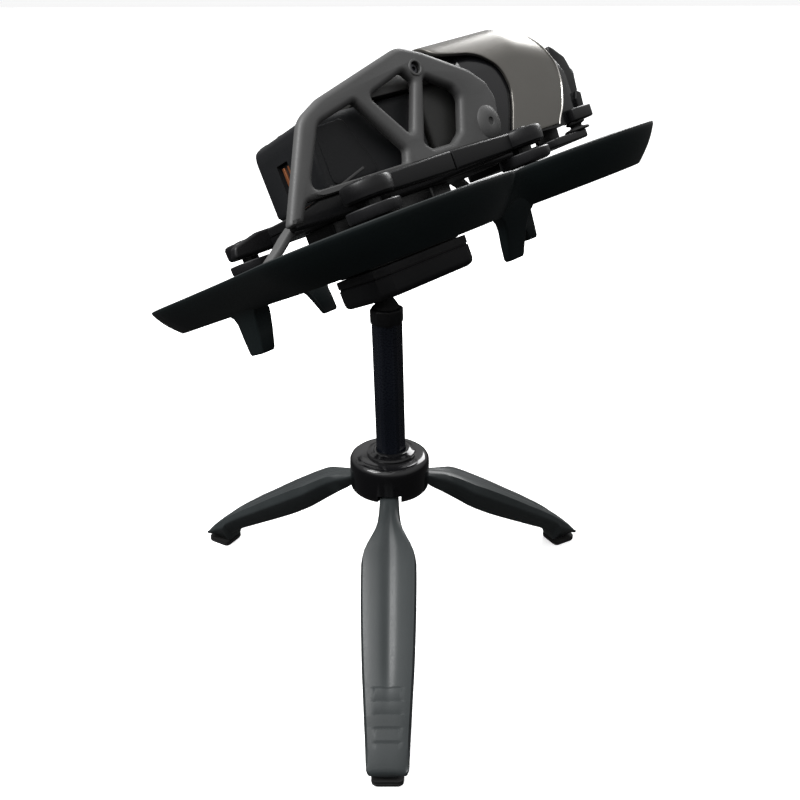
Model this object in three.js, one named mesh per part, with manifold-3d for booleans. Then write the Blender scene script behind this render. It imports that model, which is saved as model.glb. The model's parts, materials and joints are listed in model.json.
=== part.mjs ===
// A small ducted four-rotor camera drone, sitting nose-up on a cradle that a folding table tripod carries.
// Millimetres, +Z up. Pieces are drawn about the tripod's axis, with the front leg towards -Y and z = 0 on the
// table, and at the end the whole object moves so that its origin is under the middle of its own box.
// Drone pieces are drawn in the drone's own axes: +X to the nose, +Y to its left, z = 0 at the guard's lip.

import * as THREE from "three";
import { mergeVertices } from "three/addons/utils/BufferGeometryUtils.js";
import Module from "manifold-3d";

const wasm = await Module();
wasm.setup();

const degrees = Math.PI / 180;
const gap = 0.3; // between pieces that touch

// Tripod
const hubRadius = 19.2;
const hubTop = 87.4;
const hubBottom = 69.7;
const slotHalfWidth = 5.6;
const slotWall = 17; // the hub's slots are tall up to here, and low through its outer wall
const slotLowTop = 73.8;
const legPivot = { r: 13.4, z: 74.6 };
const pinRadius = 1.6;
const pinHalfLength = 10.6;
const pinClearance = 0.25;
const legAngles = { front: -90, right: 30, left: 150 };
const footPad = { inner: 105.6, outer: 117.4, height: 3.1, halfWidth: 5.8 };
// The leg's side view and plan: distance from the tripod's axis, underside, top face, half width
const legStations = [
  { r: 9.6, low: 72, high: 77.2, half: 4.4 },
  { r: 13.4, low: 70.6, high: 77.4, half: 4.5 },
  { r: 15.4, low: 69.2, high: 76.4, half: 4.5 },
  { r: 17, low: 67.6, high: 73.3, half: 4.6 },
  { r: 24, low: 61.6, high: 71.4, half: 4.9 },
  { r: 34, low: 54, high: 68.2, half: 6.6 },
  { r: 43, low: 46.8, high: 63.4, half: 10 },
  { r: 52, low: 40.6, high: 58.2, half: 12.3 },
  { r: 65, low: 32.6, high: 49.6, half: 12.2 },
  { r: 80, low: 23.9, high: 39.2, half: 11.5 },
  { r: 94, low: 15.8, high: 29.4, half: 10.5 },
  { r: 103, low: 9.6, high: 22.6, half: 9.6 },
  { r: 105, low: 3.5, high: 21, half: 9.4 },
  { r: 113, low: 3.4, high: 14.2, half: 8.4 },
  { r: 117, low: 3.8, high: 10, half: 7.4 },
  { r: 118.6, low: 5, high: 8, half: 5.6 },
];
const poleRadius = 7;
const poleTop = 160;
const poleLean = -1.3 * degrees;
const ballRadius = 5.2;
const linerThickness = 1.2;
const neckRadius = 2.8;

// Where the ball sits, how the drone leans on it, and where the drone's own origin is from the ball
const ballCentre = new THREE.Vector3(-1.1, 0, 171.3);
const droneLean = { yaw: 40.4 * degrees, pitch: -7.3 * degrees, roll: -23.5 * degrees };
const ballInDrone = new THREE.Vector3(-12, -1.9, -25.2);

// Guard and rotors
const motor = { x: 40.6, y: 54.1 };
const lipRadius = 51.9;
const waistRadius = { end: 400, side: 6 };
const wallHeight = 13.5;
const wallSlope = 8.8;
const propellerRadius = 37.5;
const bellRadius = 10.8;
const podRadius = 10;
const corners = {
  front_left: [1, 1],
  front_right: [1, -1],
  rear_left: [-1, 1],
  rear_right: [-1, -1],
};

// Body
const bodyHalfWidth = 25.2;
const cageInner = 27;
const cageOuter = 33;
const cageBottom = 16.3;
const battery = { rear: -37, front: 20, half: 24, bottom: 15.8, top: 48 };
const contacts = { right: -2, left: 6.6 };
const button = { x: -29.6, y: 2, radius: 4.6 };
const latchPocketDepth = 3;
const latchTravel = 1.4;
const hoodHalfWidth = 32;
const hoodWall = 2.2;
const cameraAxis = { x: 99, z: 35 };

const finish = (color, roughness, metalness = 0) =>
  new THREE.MeshStandardMaterial({ color, roughness, metalness });
const charcoal = () => finish(0x3c3d40, 0.6);
const black = () => finish(0x17181a, 0.45);
const rubber = () => finish(0x111112, 0.85);
const metallicGrey = () => finish(0x5d5c58, 0.35, 0.5);
const steel = () => finish(0x9a9da2, 0.3, 1);

// ---- geometry helpers ----

function solid(geometry) {
  const bare = new THREE.BufferGeometry();
  bare.setAttribute("position", geometry.getAttribute("position").clone());
  if (geometry.index) bare.setIndex(geometry.index.clone());
  const merged = mergeVertices(bare, 1e-4);
  return new wasm.Manifold(new wasm.Mesh({
    numProp: 3,
    vertProperties: new Float32Array(merged.getAttribute("position").array),
    triVerts: new Uint32Array(merged.index.array),
  }));
}

function geometryOf(manifold) {
  const mesh = manifold.getMesh();
  const geometry = new THREE.BufferGeometry();
  geometry.setAttribute("position", new THREE.BufferAttribute(new Float32Array(mesh.vertProperties), 3));
  geometry.setIndex(new THREE.BufferAttribute(new Uint32Array(mesh.triVerts), 1));
  return geometry;
}

// Joins the first geometry with the rest, or cuts the rest from it
const joined = (first, ...rest) => geometryOf(rest.reduce((sum, next) => sum.add(solid(next)), solid(first)));
const cut = (first, ...rest) => geometryOf(rest.reduce((sum, next) => sum.subtract(solid(next)), solid(first)));
const common = (first, second) => geometryOf(solid(first).intersect(solid(second)));

// A closed skin through rings of points, all with the same number of points, with a flat cap on each end
function loft(rings) {
  const count = rings[0].length;
  const points = rings.flat();
  const faces = [];
  for (let ring = 0; ring < rings.length - 1; ring++) {
    for (let i = 0; i < count; i++) {
      const a = ring * count + i;
      const b = ring * count + (i + 1) % count;
      faces.push(a, b, b + count, a, b + count, a + count);
    }
  }
  const last = (rings.length - 1) * count;
  for (let i = 1; i < count - 1; i++) {
    faces.push(0, i + 1, i, last, last + i, last + i + 1);
  }
  let volume = 0;
  for (let i = 0; i < faces.length; i += 3) {
    const [a, b, c] = [points[faces[i]], points[faces[i + 1]], points[faces[i + 2]]];
    volume += a.dot(new THREE.Vector3().crossVectors(b, c));
  }
  if (volume < 0) faces.reverse();
  const geometry = new THREE.BufferGeometry().setFromPoints(points);
  geometry.setIndex(faces);
  return geometry;
}

function box(low, high) {
  const size = high.map((value, i) => value - low[i]);
  const centre = high.map((value, i) => (value + low[i]) / 2);
  return new THREE.BoxGeometry(...size).translate(...centre);
}

function cylinder(radius, from, to, segments = 20) {
  const axis = new THREE.Vector3().subVectors(to, from);
  const geometry = new THREE.CylinderGeometry(radius, radius, axis.length(), segments);
  const turn = new THREE.Quaternion().setFromUnitVectors(new THREE.Vector3(0, 1, 0), axis.clone().normalize());
  const middle = new THREE.Vector3().addVectors(from, to).multiplyScalar(0.5);
  return geometry.applyQuaternion(turn).translate(middle.x, middle.y, middle.z);
}

// A turned piece about Z; the profile is [radius, z] from the axis back to the axis, going up
function turned(profile, segments = 20) {
  const points = profile.map(([radius, z]) => new THREE.Vector2(radius, z));
  return new THREE.LatheGeometry(points, segments).rotateX(Math.PI / 2);
}

const outline = (points) => new THREE.Shape(points.map(([a, b]) => new THREE.Vector2(a, b)));

// An extrusion's bevel that stays inside its outline
const bevelled = (size) =>
  ({ bevelEnabled: size > 0, bevelSize: size, bevelThickness: size, bevelOffset: -size, bevelSegments: 1 });

// A flat plate drawn in X and Z, from y = low to y = high, with a small bevel round its edges
function sidePlate(points, low, high, bevel = 0.8, holes = []) {
  const shape = outline(points);
  shape.holes = holes.map((hole) => new THREE.Path(hole.map(([a, b]) => new THREE.Vector2(a, b))));
  const depth = high - low - 2 * bevel;
  const geometry = new THREE.ExtrudeGeometry(shape, { depth, ...bevelled(bevel) });
  return geometry.rotateX(Math.PI / 2).translate(0, high - bevel, 0);
}

// A flat plate drawn in X and Y, from z = low to z = high
function floorPlate(points, low, high, bevel = 0.8) {
  const depth = high - low - 2 * bevel;
  const geometry = new THREE.ExtrudeGeometry(outline(points), { depth, ...bevelled(bevel) });
  return geometry.translate(0, 0, low + bevel);
}

// Four mirrored corner points of a plan or section, with its corners cut off
function octagon(halfLong, halfWide, cutLong, cutWide = cutLong) {
  return [
    [halfLong, -halfWide + cutWide], [halfLong, halfWide - cutWide], [halfLong - cutLong, halfWide],
    [-halfLong + cutLong, halfWide], [-halfLong, halfWide - cutWide], [-halfLong, -halfWide + cutWide],
    [-halfLong + cutLong, -halfWide], [halfLong - cutLong, -halfWide],
  ];
}

function node(group, name, geometry, material) {
  const mesh = new THREE.Mesh(geometry, material);
  mesh.name = name;
  group.add(mesh);
}

// ---- tripod ----

function hub() {
  const body = turned([
    [0, hubBottom], [hubRadius - 1.6, hubBottom], [hubRadius - 0.4, hubBottom + 1],
    [hubRadius, hubBottom + 4], [hubRadius, hubTop - 2.2], [hubRadius - 1.6, hubTop - 0.4],
    [hubRadius - 3, hubTop], [0, hubTop],
  ], 36);
  const slots = Object.values(legAngles).flatMap((angle) => [
    box([8, -slotHalfWidth, hubBottom - 5], [slotWall, slotHalfWidth, legPivot.z + 5.3])
      .rotateZ(angle * degrees),
    box([slotWall - 1, -slotHalfWidth, hubBottom - 5], [hubRadius + 5, slotHalfWidth, slotLowTop])
      .rotateZ(angle * degrees),
  ]);
  const holes = Object.values(legAngles)
    .map((angle) => legPin(pinRadius + pinClearance, pinHalfLength + 0.4, angle));
  return cut(body, ...slots, ...holes);
}

function legPin(radius, halfLength, angle) {
  const from = new THREE.Vector3(legPivot.r, -halfLength, legPivot.z);
  const to = new THREE.Vector3(legPivot.r, halfLength, legPivot.z);
  return cylinder(radius, from, to, 14).rotateZ(angle * degrees);
}

// One leg along +X: a beam with a creased top face that swells and narrows again
function leg(angle) {
  const rings = legStations.map(({ r, low, high, half }) => {
    const edge = high - (high - low) * 0.3;
    const crease = high - Math.min(1.4, (high - low) * 0.12);
    return [
      [-half * 0.55, low], [half * 0.55, low], [half, edge], [half * 0.8, high],
      [0, crease], [-half * 0.8, high], [-half, edge],
    ].map(([y, z]) => new THREE.Vector3(r, y, z));
  });
  const hole = legPin(pinRadius + pinClearance, pinHalfLength, 0);
  return cut(loft(rings), hole).rotateZ(angle * degrees);
}

function footPadSolid(angle) {
  const { inner, outer, height, halfWidth } = footPad;
  const middle = (inner + outer) / 2;
  const half = (outer - inner) / 2;
  const plan = (grow) => octagon(half + grow, halfWidth + grow, 2.2).map(([x, y]) => [x + middle, y]);
  const ring = (z, grow) => plan(grow).map(([x, y]) => new THREE.Vector3(x, y, z));
  return loft([ring(0, -0.6), ring(0.8, 0), ring(height, 0)]).rotateZ(angle * degrees);
}

function pole() {
  const foot = hubTop + gap;
  return turned([
    [0, foot], [poleRadius, foot], [poleRadius, poleTop], [poleRadius - 2, poleTop + 2.6],
    [neckRadius, poleTop + 3], [0, poleTop + 3],
  ], 24);
}

function poleCollar() {
  return turned([
    [poleRadius + gap, hubTop + gap], [10.6, hubTop + gap], [10.6, hubTop + 1.8],
    [9.8, hubTop + 2.6], [poleRadius + gap, hubTop + 2.6], [poleRadius + gap, hubTop + gap],
  ], 24);
}

// The ball and its neck stand on the pole; drawn about the ball's centre
function headBall() {
  const rise = Math.sqrt(ballRadius ** 2 - neckRadius ** 2);
  const base = poleTop + 3 + gap - ballCentre.z / Math.cos(poleLean);
  const profile = [[0, base], [neckRadius, base], [neckRadius, -rise]];
  const start = Math.asin(neckRadius / ballRadius);
  for (let i = 1; i <= 8; i++) {
    const angle = start + (Math.PI - start) * i / 8;
    profile.push([i === 8 ? 0 : ballRadius * Math.sin(angle), -ballRadius * Math.cos(angle)]);
  }
  return turned(profile, 20);
}

// A spherical liner between the ball and the cradle, open underneath for the neck
function ballLiner() {
  const inner = ballRadius + gap;
  const outer = inner + linerThickness;
  const open = 58 * degrees;
  const profile = [];
  for (let i = 0; i <= 8; i++) {
    const angle = open + (Math.PI - open) * i / 8;
    profile.push([i === 8 ? 0 : outer * Math.sin(angle), -outer * Math.cos(angle)]);
  }
  for (let i = 8; i >= 0; i--) {
    const angle = open + (Math.PI - open) * i / 8;
    profile.push([i === 8 ? 0 : inner * Math.sin(angle), -inner * Math.cos(angle)]);
  }
  profile.push(profile[0]);
  return turned(profile, 20);
}

// ---- cradle, in the drone's axes ----

const cradle = { low: -30.3, high: -17, centreX: 2, halfLong: 27.5, halfWide: 20 };

function cradlePlan(grow) {
  return octagon(cradle.halfLong + grow, cradle.halfWide + grow, 6, 5).map(([x, y]) => [x + cradle.centreX, y]);
}

function cradleBlock() {
  const ring = (z, grow) => cradlePlan(grow).map(([x, y]) => new THREE.Vector3(x, y, z));
  const block = loft([ring(cradle.low, -1.4), ring(cradle.low + 2, 0), ring(cradle.high, 0)]);
  const seat = ballRadius + gap + linerThickness + gap;
  const { x, y, z } = ballInDrone;
  const socket = new THREE.SphereGeometry(seat, 20, 14).translate(x, y, z);
  const mouthDepth = z - cradle.low + 1;
  const mouth = new THREE.ConeGeometry(mouthDepth * Math.tan(60 * degrees), mouthDepth, 20)
    .rotateX(Math.PI / 2).translate(x, y, z - mouthDepth / 2);
  return cut(block, socket, mouth);
}

function cradlePad() {
  return floorPlate(cradlePlan(-2), cradle.high + gap, -15.8, 0.3);
}

// ---- guard ----

// Points along the lip of one quarter, from the middle of the end waist to the middle of the side waist,
// each with the direction that points out of the guard
function lipPath() {
  const points = [];
  const centre = new THREE.Vector2(motor.x, motor.y);
  const beyond = (waist, across) => Math.sqrt((lipRadius + waist) ** 2 - across ** 2);
  const endCentre = new THREE.Vector2(motor.x + beyond(waistRadius.end, motor.y), 0);
  const sideCentre = new THREE.Vector2(0, motor.y + beyond(waistRadius.side, motor.x));
  const arc = (middle, radius, from, to, steps, side) => {
    for (let i = 0; i <= steps; i++) {
      const angle = from + (to - from) * i / steps;
      const direction = new THREE.Vector2(Math.cos(angle), Math.sin(angle));
      const at = direction.clone().multiplyScalar(radius).add(middle);
      points.push({ at, out: direction.multiplyScalar(side) });
    }
  };
  const toEnd = endCentre.clone().sub(centre).angle();
  const toSide = sideCentre.clone().sub(centre).angle();
  arc(endCentre, waistRadius.end, Math.PI, toEnd - Math.PI, 3, -1);
  points.pop();
  arc(centre, lipRadius, toEnd - 2 * Math.PI, toSide, 17, 1);
  points.pop();
  arc(sideCentre, waistRadius.side, toSide - Math.PI, -Math.PI / 2, 3, -1);
  return points;
}

// The wall's section: how far out from the lip, and height
const wallSection = [
  [0, -0.9], [-wallSlope, -wallHeight], [-wallSlope - 1.7, -wallHeight + 0.3],
  [-2.6, -1.9], [-2.3, -0.2], [-0.7, 0],
];

function guardQuarter(sx, sy) {
  const endTrim = gap / 2;
  const rings = lipPath().map(({ at, out }) => wallSection.map(([away, z]) => {
    const x = Math.max(at.x + out.x * away, endTrim);
    const y = Math.max(at.y + out.y * away, endTrim);
    return new THREE.Vector3(sx * x, sy * y, z);
  }));
  const wall = loft(rings);
  const hasStay = sx > 0 || sy < 0;
  return hasStay ? joined(wall, cut(guardStay(sx, sy), midDeck(gap))) : wall;
}

// A curved stay from the deck, over the edge of the propeller's circle, down to the guard's wall
function guardStay(sx, sy) {
  const route = new THREE.CatmullRomCurve3([
    new THREE.Vector3(sx * 47.6, sy * 20, 11.5),
    new THREE.Vector3(sx * 56, sy * 21.5, 9.6),
    new THREE.Vector3(sx * 66, sy * 23, 4),
    new THREE.Vector3(sx * 76, sy * 24, -2.2),
    new THREE.Vector3(sx * 86.4, sy * 25, -5.4),
  ]);
  const section = outline(octagon(1.6, 3.4, 0.7));
  return new THREE.ExtrudeGeometry(section, { steps: 10, extrudePath: route });
}

// A landing fin hangs under a waist; its rings go from the waist down to the toe
function landingFin(alongX, sign) {
  const side = [
    { z: -14.2, out: 82.6, across: 11.5, thick: 5.6 },
    { z: -17, out: 80.4, across: 7, thick: 5 },
    { z: -22, out: 77.4, across: 5.4, thick: 4.4 },
    { z: -29.4, out: 73.4, across: 4.4, thick: 3.6 },
    { z: -30.6, out: 73, across: 3.4, thick: 2.8 },
  ];
  const end = [
    { z: -14.2, out: 79.4, across: 17, thick: 7 },
    { z: -17, out: 80.2, across: 10.4, thick: 7.4 },
    { z: -22, out: 81, across: 8, thick: 7 },
    { z: -30.6, out: 81, across: 6.2, thick: 6 },
    { z: -31.8, out: 81, across: 5, thick: 4.8 },
  ];
  const rings = (alongX ? end : side).map(({ z, out, across, thick }) =>
    octagon(thick / 2, across, thick * 0.3).map(([deep, wide]) => alongX
      ? new THREE.Vector3(sign * (out + deep), wide, z)
      : new THREE.Vector3(wide, sign * (out + deep), z)));
  return loft(rings);
}

// ---- rotors ----

function motorArm(sx, sy) {
  const pod = turned([[0, 8.8], [podRadius - 0.6, 8.8], [podRadius, 9.6], [podRadius, 14.8],
    [podRadius - 1, 15.8], [0, 15.8]], 24).translate(sx * motor.x, sy * motor.y, 0);
  const root = new THREE.Vector2(sx * 19, sy * (bodyHalfWidth + 1.1));
  const tip = new THREE.Vector2(sx * motor.x, sy * motor.y);
  const along = tip.clone().sub(root).normalize();
  const across = new THREE.Vector2(-along.y, along.x);
  const ring = (at, half, low, high) => [[-half, low], [half, low], [half, high - 1], [half - 1, high],
    [-half + 1, high], [-half, high - 1]].map(([side, z]) =>
    new THREE.Vector3(at.x + across.x * side, at.y + across.y * side, z));
  const beam = loft([ring(root, 8.6, 7.9, 15.9), ring(root.clone().lerp(tip, 0.4), 6.4, 8.2, 15.6),
    ring(tip, 5.6, 8.9, 15.2)]);
  const sideView = [[gap / 2, 8.4], [motor.x, 8.9], [motor.x, 15.2], [gap / 2, 16.2]]
    .map(([x, z]) => [sx * x, z]);
  const sideBeam = sidePlate(sideView, -3.2, 3.2, 0).translate(0, sy * motor.y, 0);
  const rootTrim = box([-90, -bodyHalfWidth - gap * 2, 0], [90, bodyHalfWidth + gap * 2, 30]);
  return cut(joined(pod, beam, sideBeam), rootTrim);
}

function stator() {
  return turned([[0, 3.9], [7.2, 3.9], [7.2, 6.2], [4, 6.6], [4, 8.5], [0, 8.5]], 16);
}

function rotorBell() {
  return turned([
    [0, 1.6], [bellRadius - 1.6, 1.6], [bellRadius - 0.2, 2.6], [bellRadius, 3.2], [bellRadius, 6.3],
    [bellRadius - 1.4, 6.3], [bellRadius - 2, 3.5], [0, 3.5],
  ], 20);
}

// Three twisted blades on a hub, clockwise or anticlockwise
function propeller(hand) {
  const stations = [
    { r: 3, half: 2.6, pitch: 34, thick: 1.5 },
    { r: 9, half: 5, pitch: 29, thick: 1.3 },
    { r: 18, half: 6, pitch: 22, thick: 1.1 },
    { r: 28, half: 5, pitch: 16, thick: 0.9 },
    { r: propellerRadius - 2, half: 3.4, pitch: 12, thick: 0.7 },
    { r: propellerRadius, half: 1.4, pitch: 11, thick: 0.5 },
  ];
  const blade = () => loft(stations.map(({ r, half, pitch, thick }) => {
    const c = Math.cos(pitch * degrees);
    const s = Math.sin(pitch * degrees) * hand;
    const sweep = r * 0.06 * hand;
    return [[-half, 0], [0, -thick / 2], [half, 0], [0, thick / 2]].map(([chord, up]) =>
      new THREE.Vector3(r, sweep + chord * c - up * s, -2.4 + chord * s + up * c));
  }));
  const boss = turned([[0, -4.6], [3.8, -4.6], [4.4, -3.8], [4.4, 1], [3.8, 1.3], [0, 1.3]], 16);
  return joined(boss, ...[0, 120, 240].map((turn) => blade().rotateZ((turn + 12) * degrees)));
}

// ---- body ----

function bellyShell() {
  const plan = [
    [34, -12], [34, 12], [13, 23.5], [-13, 23.5],
    [-34, 12], [-34, -12], [-13, -23.5], [13, -23.5],
  ];
  const ring = (z, scale) => plan.map(([x, y]) => new THREE.Vector3(x * scale, y * scale, z));
  const shell = loft([ring(-15.5, 0.86), ring(-12, 1), ring(7.1, 1)]);
  const hollow = loft([ring(1.4, 0.86), ring(12, 0.86)]);
  return cut(shell, hollow);
}

function midDeck(grow = 0) {
  const [front, rear, half] = [62 + grow, -47 - grow, bodyHalfWidth + grow];
  const plan = [
    [front, -17], [front, 17], [50, half], [-40, half],
    [rear, 17], [rear, -17], [-40, -half], [50, -half],
  ];
  return floorPlate(plan, 7.4 - grow, 15.4 + grow, 0.8);
}

// The right cage runs from the tail to the hood; the left one is lower and starts beside the battery
const cages = {
  right: {
    outer: [
      [-63.4, 10.7], [-56, 10.7], [-52.4, cageBottom], [50, cageBottom], [55.5, 24], [58, 34.6],
      [55.2, 42.2], [47.6, 49], [25.3, 60.4], [17.8, 63.4], [13, 63.6], [2.6, 61.6], [-31.9, 52.4],
      [-40, 47.6], [-45.8, 41.4],
    ],
    windows: [
      [[-49.8, 19.6], [-36.4, 41.6], [-33, 44.2], [-17.4, 47.4], [-15.6, 46.6], [-0.4, 25.2], [-1.2, 21]],
      [[-7.6, 48], [4.6, 31.4], [8.4, 31.4], [15.6, 49], [12.4, 54.2]],
      [[11.8, 26.4], [15.6, 22], [24.6, 22], [31.2, 25], [37.4, 38.8], [35.6, 43], [22.2, 50]],
    ],
    screw: 55.4,
  },
  left: {
    outer: [
      [-28.6, cageBottom], [50, cageBottom], [55.5, 24], [58, 34.6], [55.2, 42.2], [47.6, 48],
      [30, 53.4], [22, 53.4], [4, 45.6], [-22, 43.6], [-27, 40],
    ],
    windows: [
      [[-22, 22], [-20.8, 36.6], [-6, 37.8], [-0.4, 25.2], [-1.2, 22]],
      [[11.8, 26.4], [15.6, 22], [24.6, 22], [31.2, 25], [37.4, 38.8], [35.6, 42], [25, 44.6], [16, 40]],
    ],
    screw: 48.6,
  },
};

function sideCage(name) {
  const { outer, windows, screw } = cages[name];
  const side = name === "left" ? 1 : -1;
  const [low, high] = side > 0 ? [cageInner, cageOuter] : [-cageOuter, -cageInner];
  const plate = sidePlate(outer, low, high, 1.2, windows);
  const from = new THREE.Vector3(18.9, side * (cageOuter - 1.6), screw);
  const recess = cylinder(2.9, from, new THREE.Vector3(18.9, side * (cageOuter + 1), screw), 14);
  return cut(plate, recess);
}

function upperShell() {
  const profile = [[-24, 49.2], [-22, 53.4], [2, 59.6], [14, 62], [54, 62.4], [63, 59], [65.4, 48],
    [65.4, 15.8], [22, 15.8], [21, 49.2]];
  const arch = (x) => archSection(bodyHalfWidth, 10, 62.4, 15).map(([y, z]) => new THREE.Vector3(x, y, z));
  return common(loft([arch(-30), arch(70)]), sidePlate(profile, -40, 40, 0));
}

function batteryCase() {
  const { rear, front, half, bottom, top } = battery;
  const middle = (bottom + top) / 2;
  const rise = (top - bottom) / 2;
  const ring = (x, grow) => octagon(half + grow, rise + grow, 4)
    .map(([y, z]) => new THREE.Vector3(x, y, middle + z));
  const block = loft([ring(rear, -1.8), ring(rear + 1.8, 0), ring(front, 0)]);
  const slot = box([rear - 1, contacts.right - 0.5, 20], [rear + 3, contacts.left + 0.5, 37.4]);
  const pocket = (side) => latchBox(side, gap + 0.1, top - latchPocketDepth, top + 1);
  const { x, y, radius } = button;
  const wellFloor = new THREE.Vector3(x, y, top - 2.8);
  const buttonWell = cylinder(radius + 0.4, wellFloor, new THREE.Vector3(x, y, top + 1), 20);
  return cut(block, slot, pocket(1), pocket(-1), buttonWell);
}

function contactStrip() {
  const from = battery.rear + 3 - gap;
  const { right, left } = contacts;
  const bar = (y) => box([from - 1.9, y - 1, 21.6], [from - 0.6, y + 1, 35.8]);
  const backing = box([from - 0.9, right, 20.6], [from, left, 36.8]);
  return joined(backing, bar(right + 2.2), bar(left - 2.2));
}

// The latches sit in pockets near the battery's rear corners; grow widens a pocket round its latch
function latchBox(side, grow, low, high) {
  const [inner, outer] = [13.6 - grow, 20.2 + grow];
  const [left, right] = side > 0 ? [inner, outer] : [-outer, -inner];
  return box([-34.4 - grow, left, low], [-26.8 + grow, right, high]);
}

function batteryLatch(side) {
  return latchBox(side, 0, battery.top - latchPocketDepth + latchTravel, battery.top + 0.5);
}

function powerButton() {
  const { x, y, radius } = button;
  const { top } = battery;
  const profile = [[0, top - 1.6], [radius, top - 1.6], [radius, top + 0.2], [radius - 0.6, top + 0.6], [0, top + 0.6]];
  return turned(profile, 20).translate(x, y, 0);
}

// A rounded arch section in Y and Z, used for the hood and what is under it
function archSection(half, low, high, radius) {
  const points = [[half, low]];
  for (let i = 0; i <= 5; i++) {
    const angle = i / 5 * Math.PI / 2;
    points.push([half - radius + radius * Math.cos(angle), high - radius + radius * Math.sin(angle)]);
  }
  return [...points, ...points.map(([y, z]) => [-y, z]).reverse()];
}

function cameraHood() {
  const top = 66;
  const arch = (x, grow, low) => archSection(hoodHalfWidth + grow, low, top + grow, 17 + grow)
    .map(([y, z]) => new THREE.Vector3(x, y, z));
  const profile = [
    [33.4, 64], [33.4, 56.6], [52, 56], [58, 53.4], [65.6, 47], [68.6, 40], [68.2, 33], [61, 15.4],
    [92.4, 15], [97.8, 23.2], [102.6, 35.6], [102.6, 44], [99.6, 50], [95.4, 59.4], [88, 63.4],
    [78, 66.4], [52, 66.6],
  ];
  const block = common(loft([arch(30, 0, 10), arch(110, 0, 10)]), sidePlate(profile, -40, 40, 0));
  return cut(block, loft([arch(20, -hoodWall, 5), arch(120, -hoodWall, 5)]));
}

function noseShell() {
  const grow = -hoodWall - gap;
  const arch = (x, low, more) => archSection(hoodHalfWidth + grow + more, low,
    66 + grow + more, 17 + grow + more).map(([y, z]) => new THREE.Vector3(x, y, z));
  const profile = [
    [65.8, 15], [100, 15], [103, 13.8], [112.6, 13.8], [112.6, 20], [111, 21.6], [113.2, 28], [114.4, 35.2],
    [110.8, 44.4], [101, 56.4], [90, 61.4], [65.8, 63.4],
  ];
  const tunnel = loft([arch(60, 13, 0), arch(96, 13, 0), arch(118, 13, -1.6)]);
  const block = common(tunnel, sidePlate(profile, -40, 40, 0));
  const opening = box([79.5, -19.4, 4], [130, 19.4, 54.5]);
  return cut(block, opening);
}

function gimbalPlate() {
  const plate = floorPlate(octagon(15, 33, 4).map(([x, y]) => [x + 96, y]), 5.4, 9.2, 0.5);
  const post = (side) => box([88, side > 0 ? 16.2 : -18.8, 8], [104, side > 0 ? 18.8 : -16.2, 41]);
  const axle = (side) => cylinder(1.8, new THREE.Vector3(cameraAxis.x, side * 16.6, cameraAxis.z),
    new THREE.Vector3(cameraAxis.x, side * 14.2, cameraAxis.z), 12);
  return joined(plate, post(1), post(-1), axle(1), axle(-1));
}

function damper(side) {
  return turned([[0, 9.5], [4.6, 9.5], [4.6, 10.6], [2.2, 12], [2.2, 12.6], [3, 13.5], [0, 13.5]], 12)
    .translate(107, side * 25.4, 0);
}

function cameraBody() {
  const centre = cameraAxis;
  const ring = (x, half) => octagon(half, half, half * 0.35)
    .map(([y, z]) => new THREE.Vector3(centre.x + x, y, centre.z + z));
  const block = loft([ring(-11, 12), ring(-9, 15.6), ring(9, 15.6), ring(11, 13.4)]);
  const at = (x, y) => new THREE.Vector3(centre.x + x, y, centre.z);
  const bore = cylinder(2.2, at(0, -20), at(0, 20), 12);
  const seat = cylinder(10.4, at(5, 0), at(20, 0));
  return cut(block, bore, seat);
}

function lensBarrel() {
  return turned([[0, 5.4], [10, 5.4], [10, 13.6], [9, 14.6], [7.4, 14.6], [6.6, 13], [0, 13]], 20)
    .rotateY(Math.PI / 2).translate(cameraAxis.x, 0, cameraAxis.z);
}

function lensGlass() {
  return turned([[0, 13.3], [6.2, 13.3], [6, 13.8], [4.4, 14.8], [2.2, 15.3], [0, 15.5]], 20)
    .rotateY(Math.PI / 2).translate(cameraAxis.x, 0, cameraAxis.z);
}

// ---- assembly ----

const object = new THREE.Group();

node(object, "tripod_hub", hub(), black());
for (const [name, angle] of Object.entries(legAngles)) {
  node(object, `leg_${name}`, leg(angle), charcoal());
  node(object, `leg_pin_${name}`, legPin(pinRadius, pinHalfLength, angle), steel());
  node(object, `foot_pad_${name}`, footPadSolid(angle), rubber());
}

const column = new THREE.Group();
column.rotation.y = poleLean;
column.position.x = ballCentre.x - ballCentre.z * Math.tan(poleLean);
object.add(column);
node(column, "pole", pole(), black());
node(column, "pole_collar", poleCollar(), black());
const ball = new THREE.Group();
ball.position.z = ballCentre.z / Math.cos(poleLean);
column.add(ball);
node(ball, "head_ball", headBall(), black());

const head = new THREE.Group();
head.position.copy(ballCentre);
head.rotation.set(droneLean.roll, droneLean.pitch, droneLean.yaw, "ZYX");
object.add(head);
node(head, "ball_liner", ballLiner(), rubber());

const drone = new THREE.Group();
drone.position.copy(ballInDrone).negate();
head.add(drone);
node(drone, "cradle_block", cradleBlock(), black());
node(drone, "cradle_pad", cradlePad(), rubber());

for (const [name, [sx, sy]] of Object.entries(corners)) {
  node(drone, `guard_${name}`, guardQuarter(sx, sy), black());
  node(drone, `motor_arm_${name}`, motorArm(sx, sy), charcoal());
  const axis = new THREE.Group();
  axis.position.set(sx * motor.x, sy * motor.y, 0);
  drone.add(axis);
  node(axis, `motor_stator_${name}`, stator(), steel());
  node(axis, `rotor_bell_${name}`, rotorBell(), black());
  node(axis, `propeller_${name}`, propeller(sx * sy), black());
}

node(drone, "landing_fin_front", landingFin(true, 1), black());
node(drone, "landing_fin_rear", landingFin(true, -1), black());
node(drone, "landing_fin_left", landingFin(false, 1), black());
node(drone, "landing_fin_right", landingFin(false, -1), black());

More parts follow.
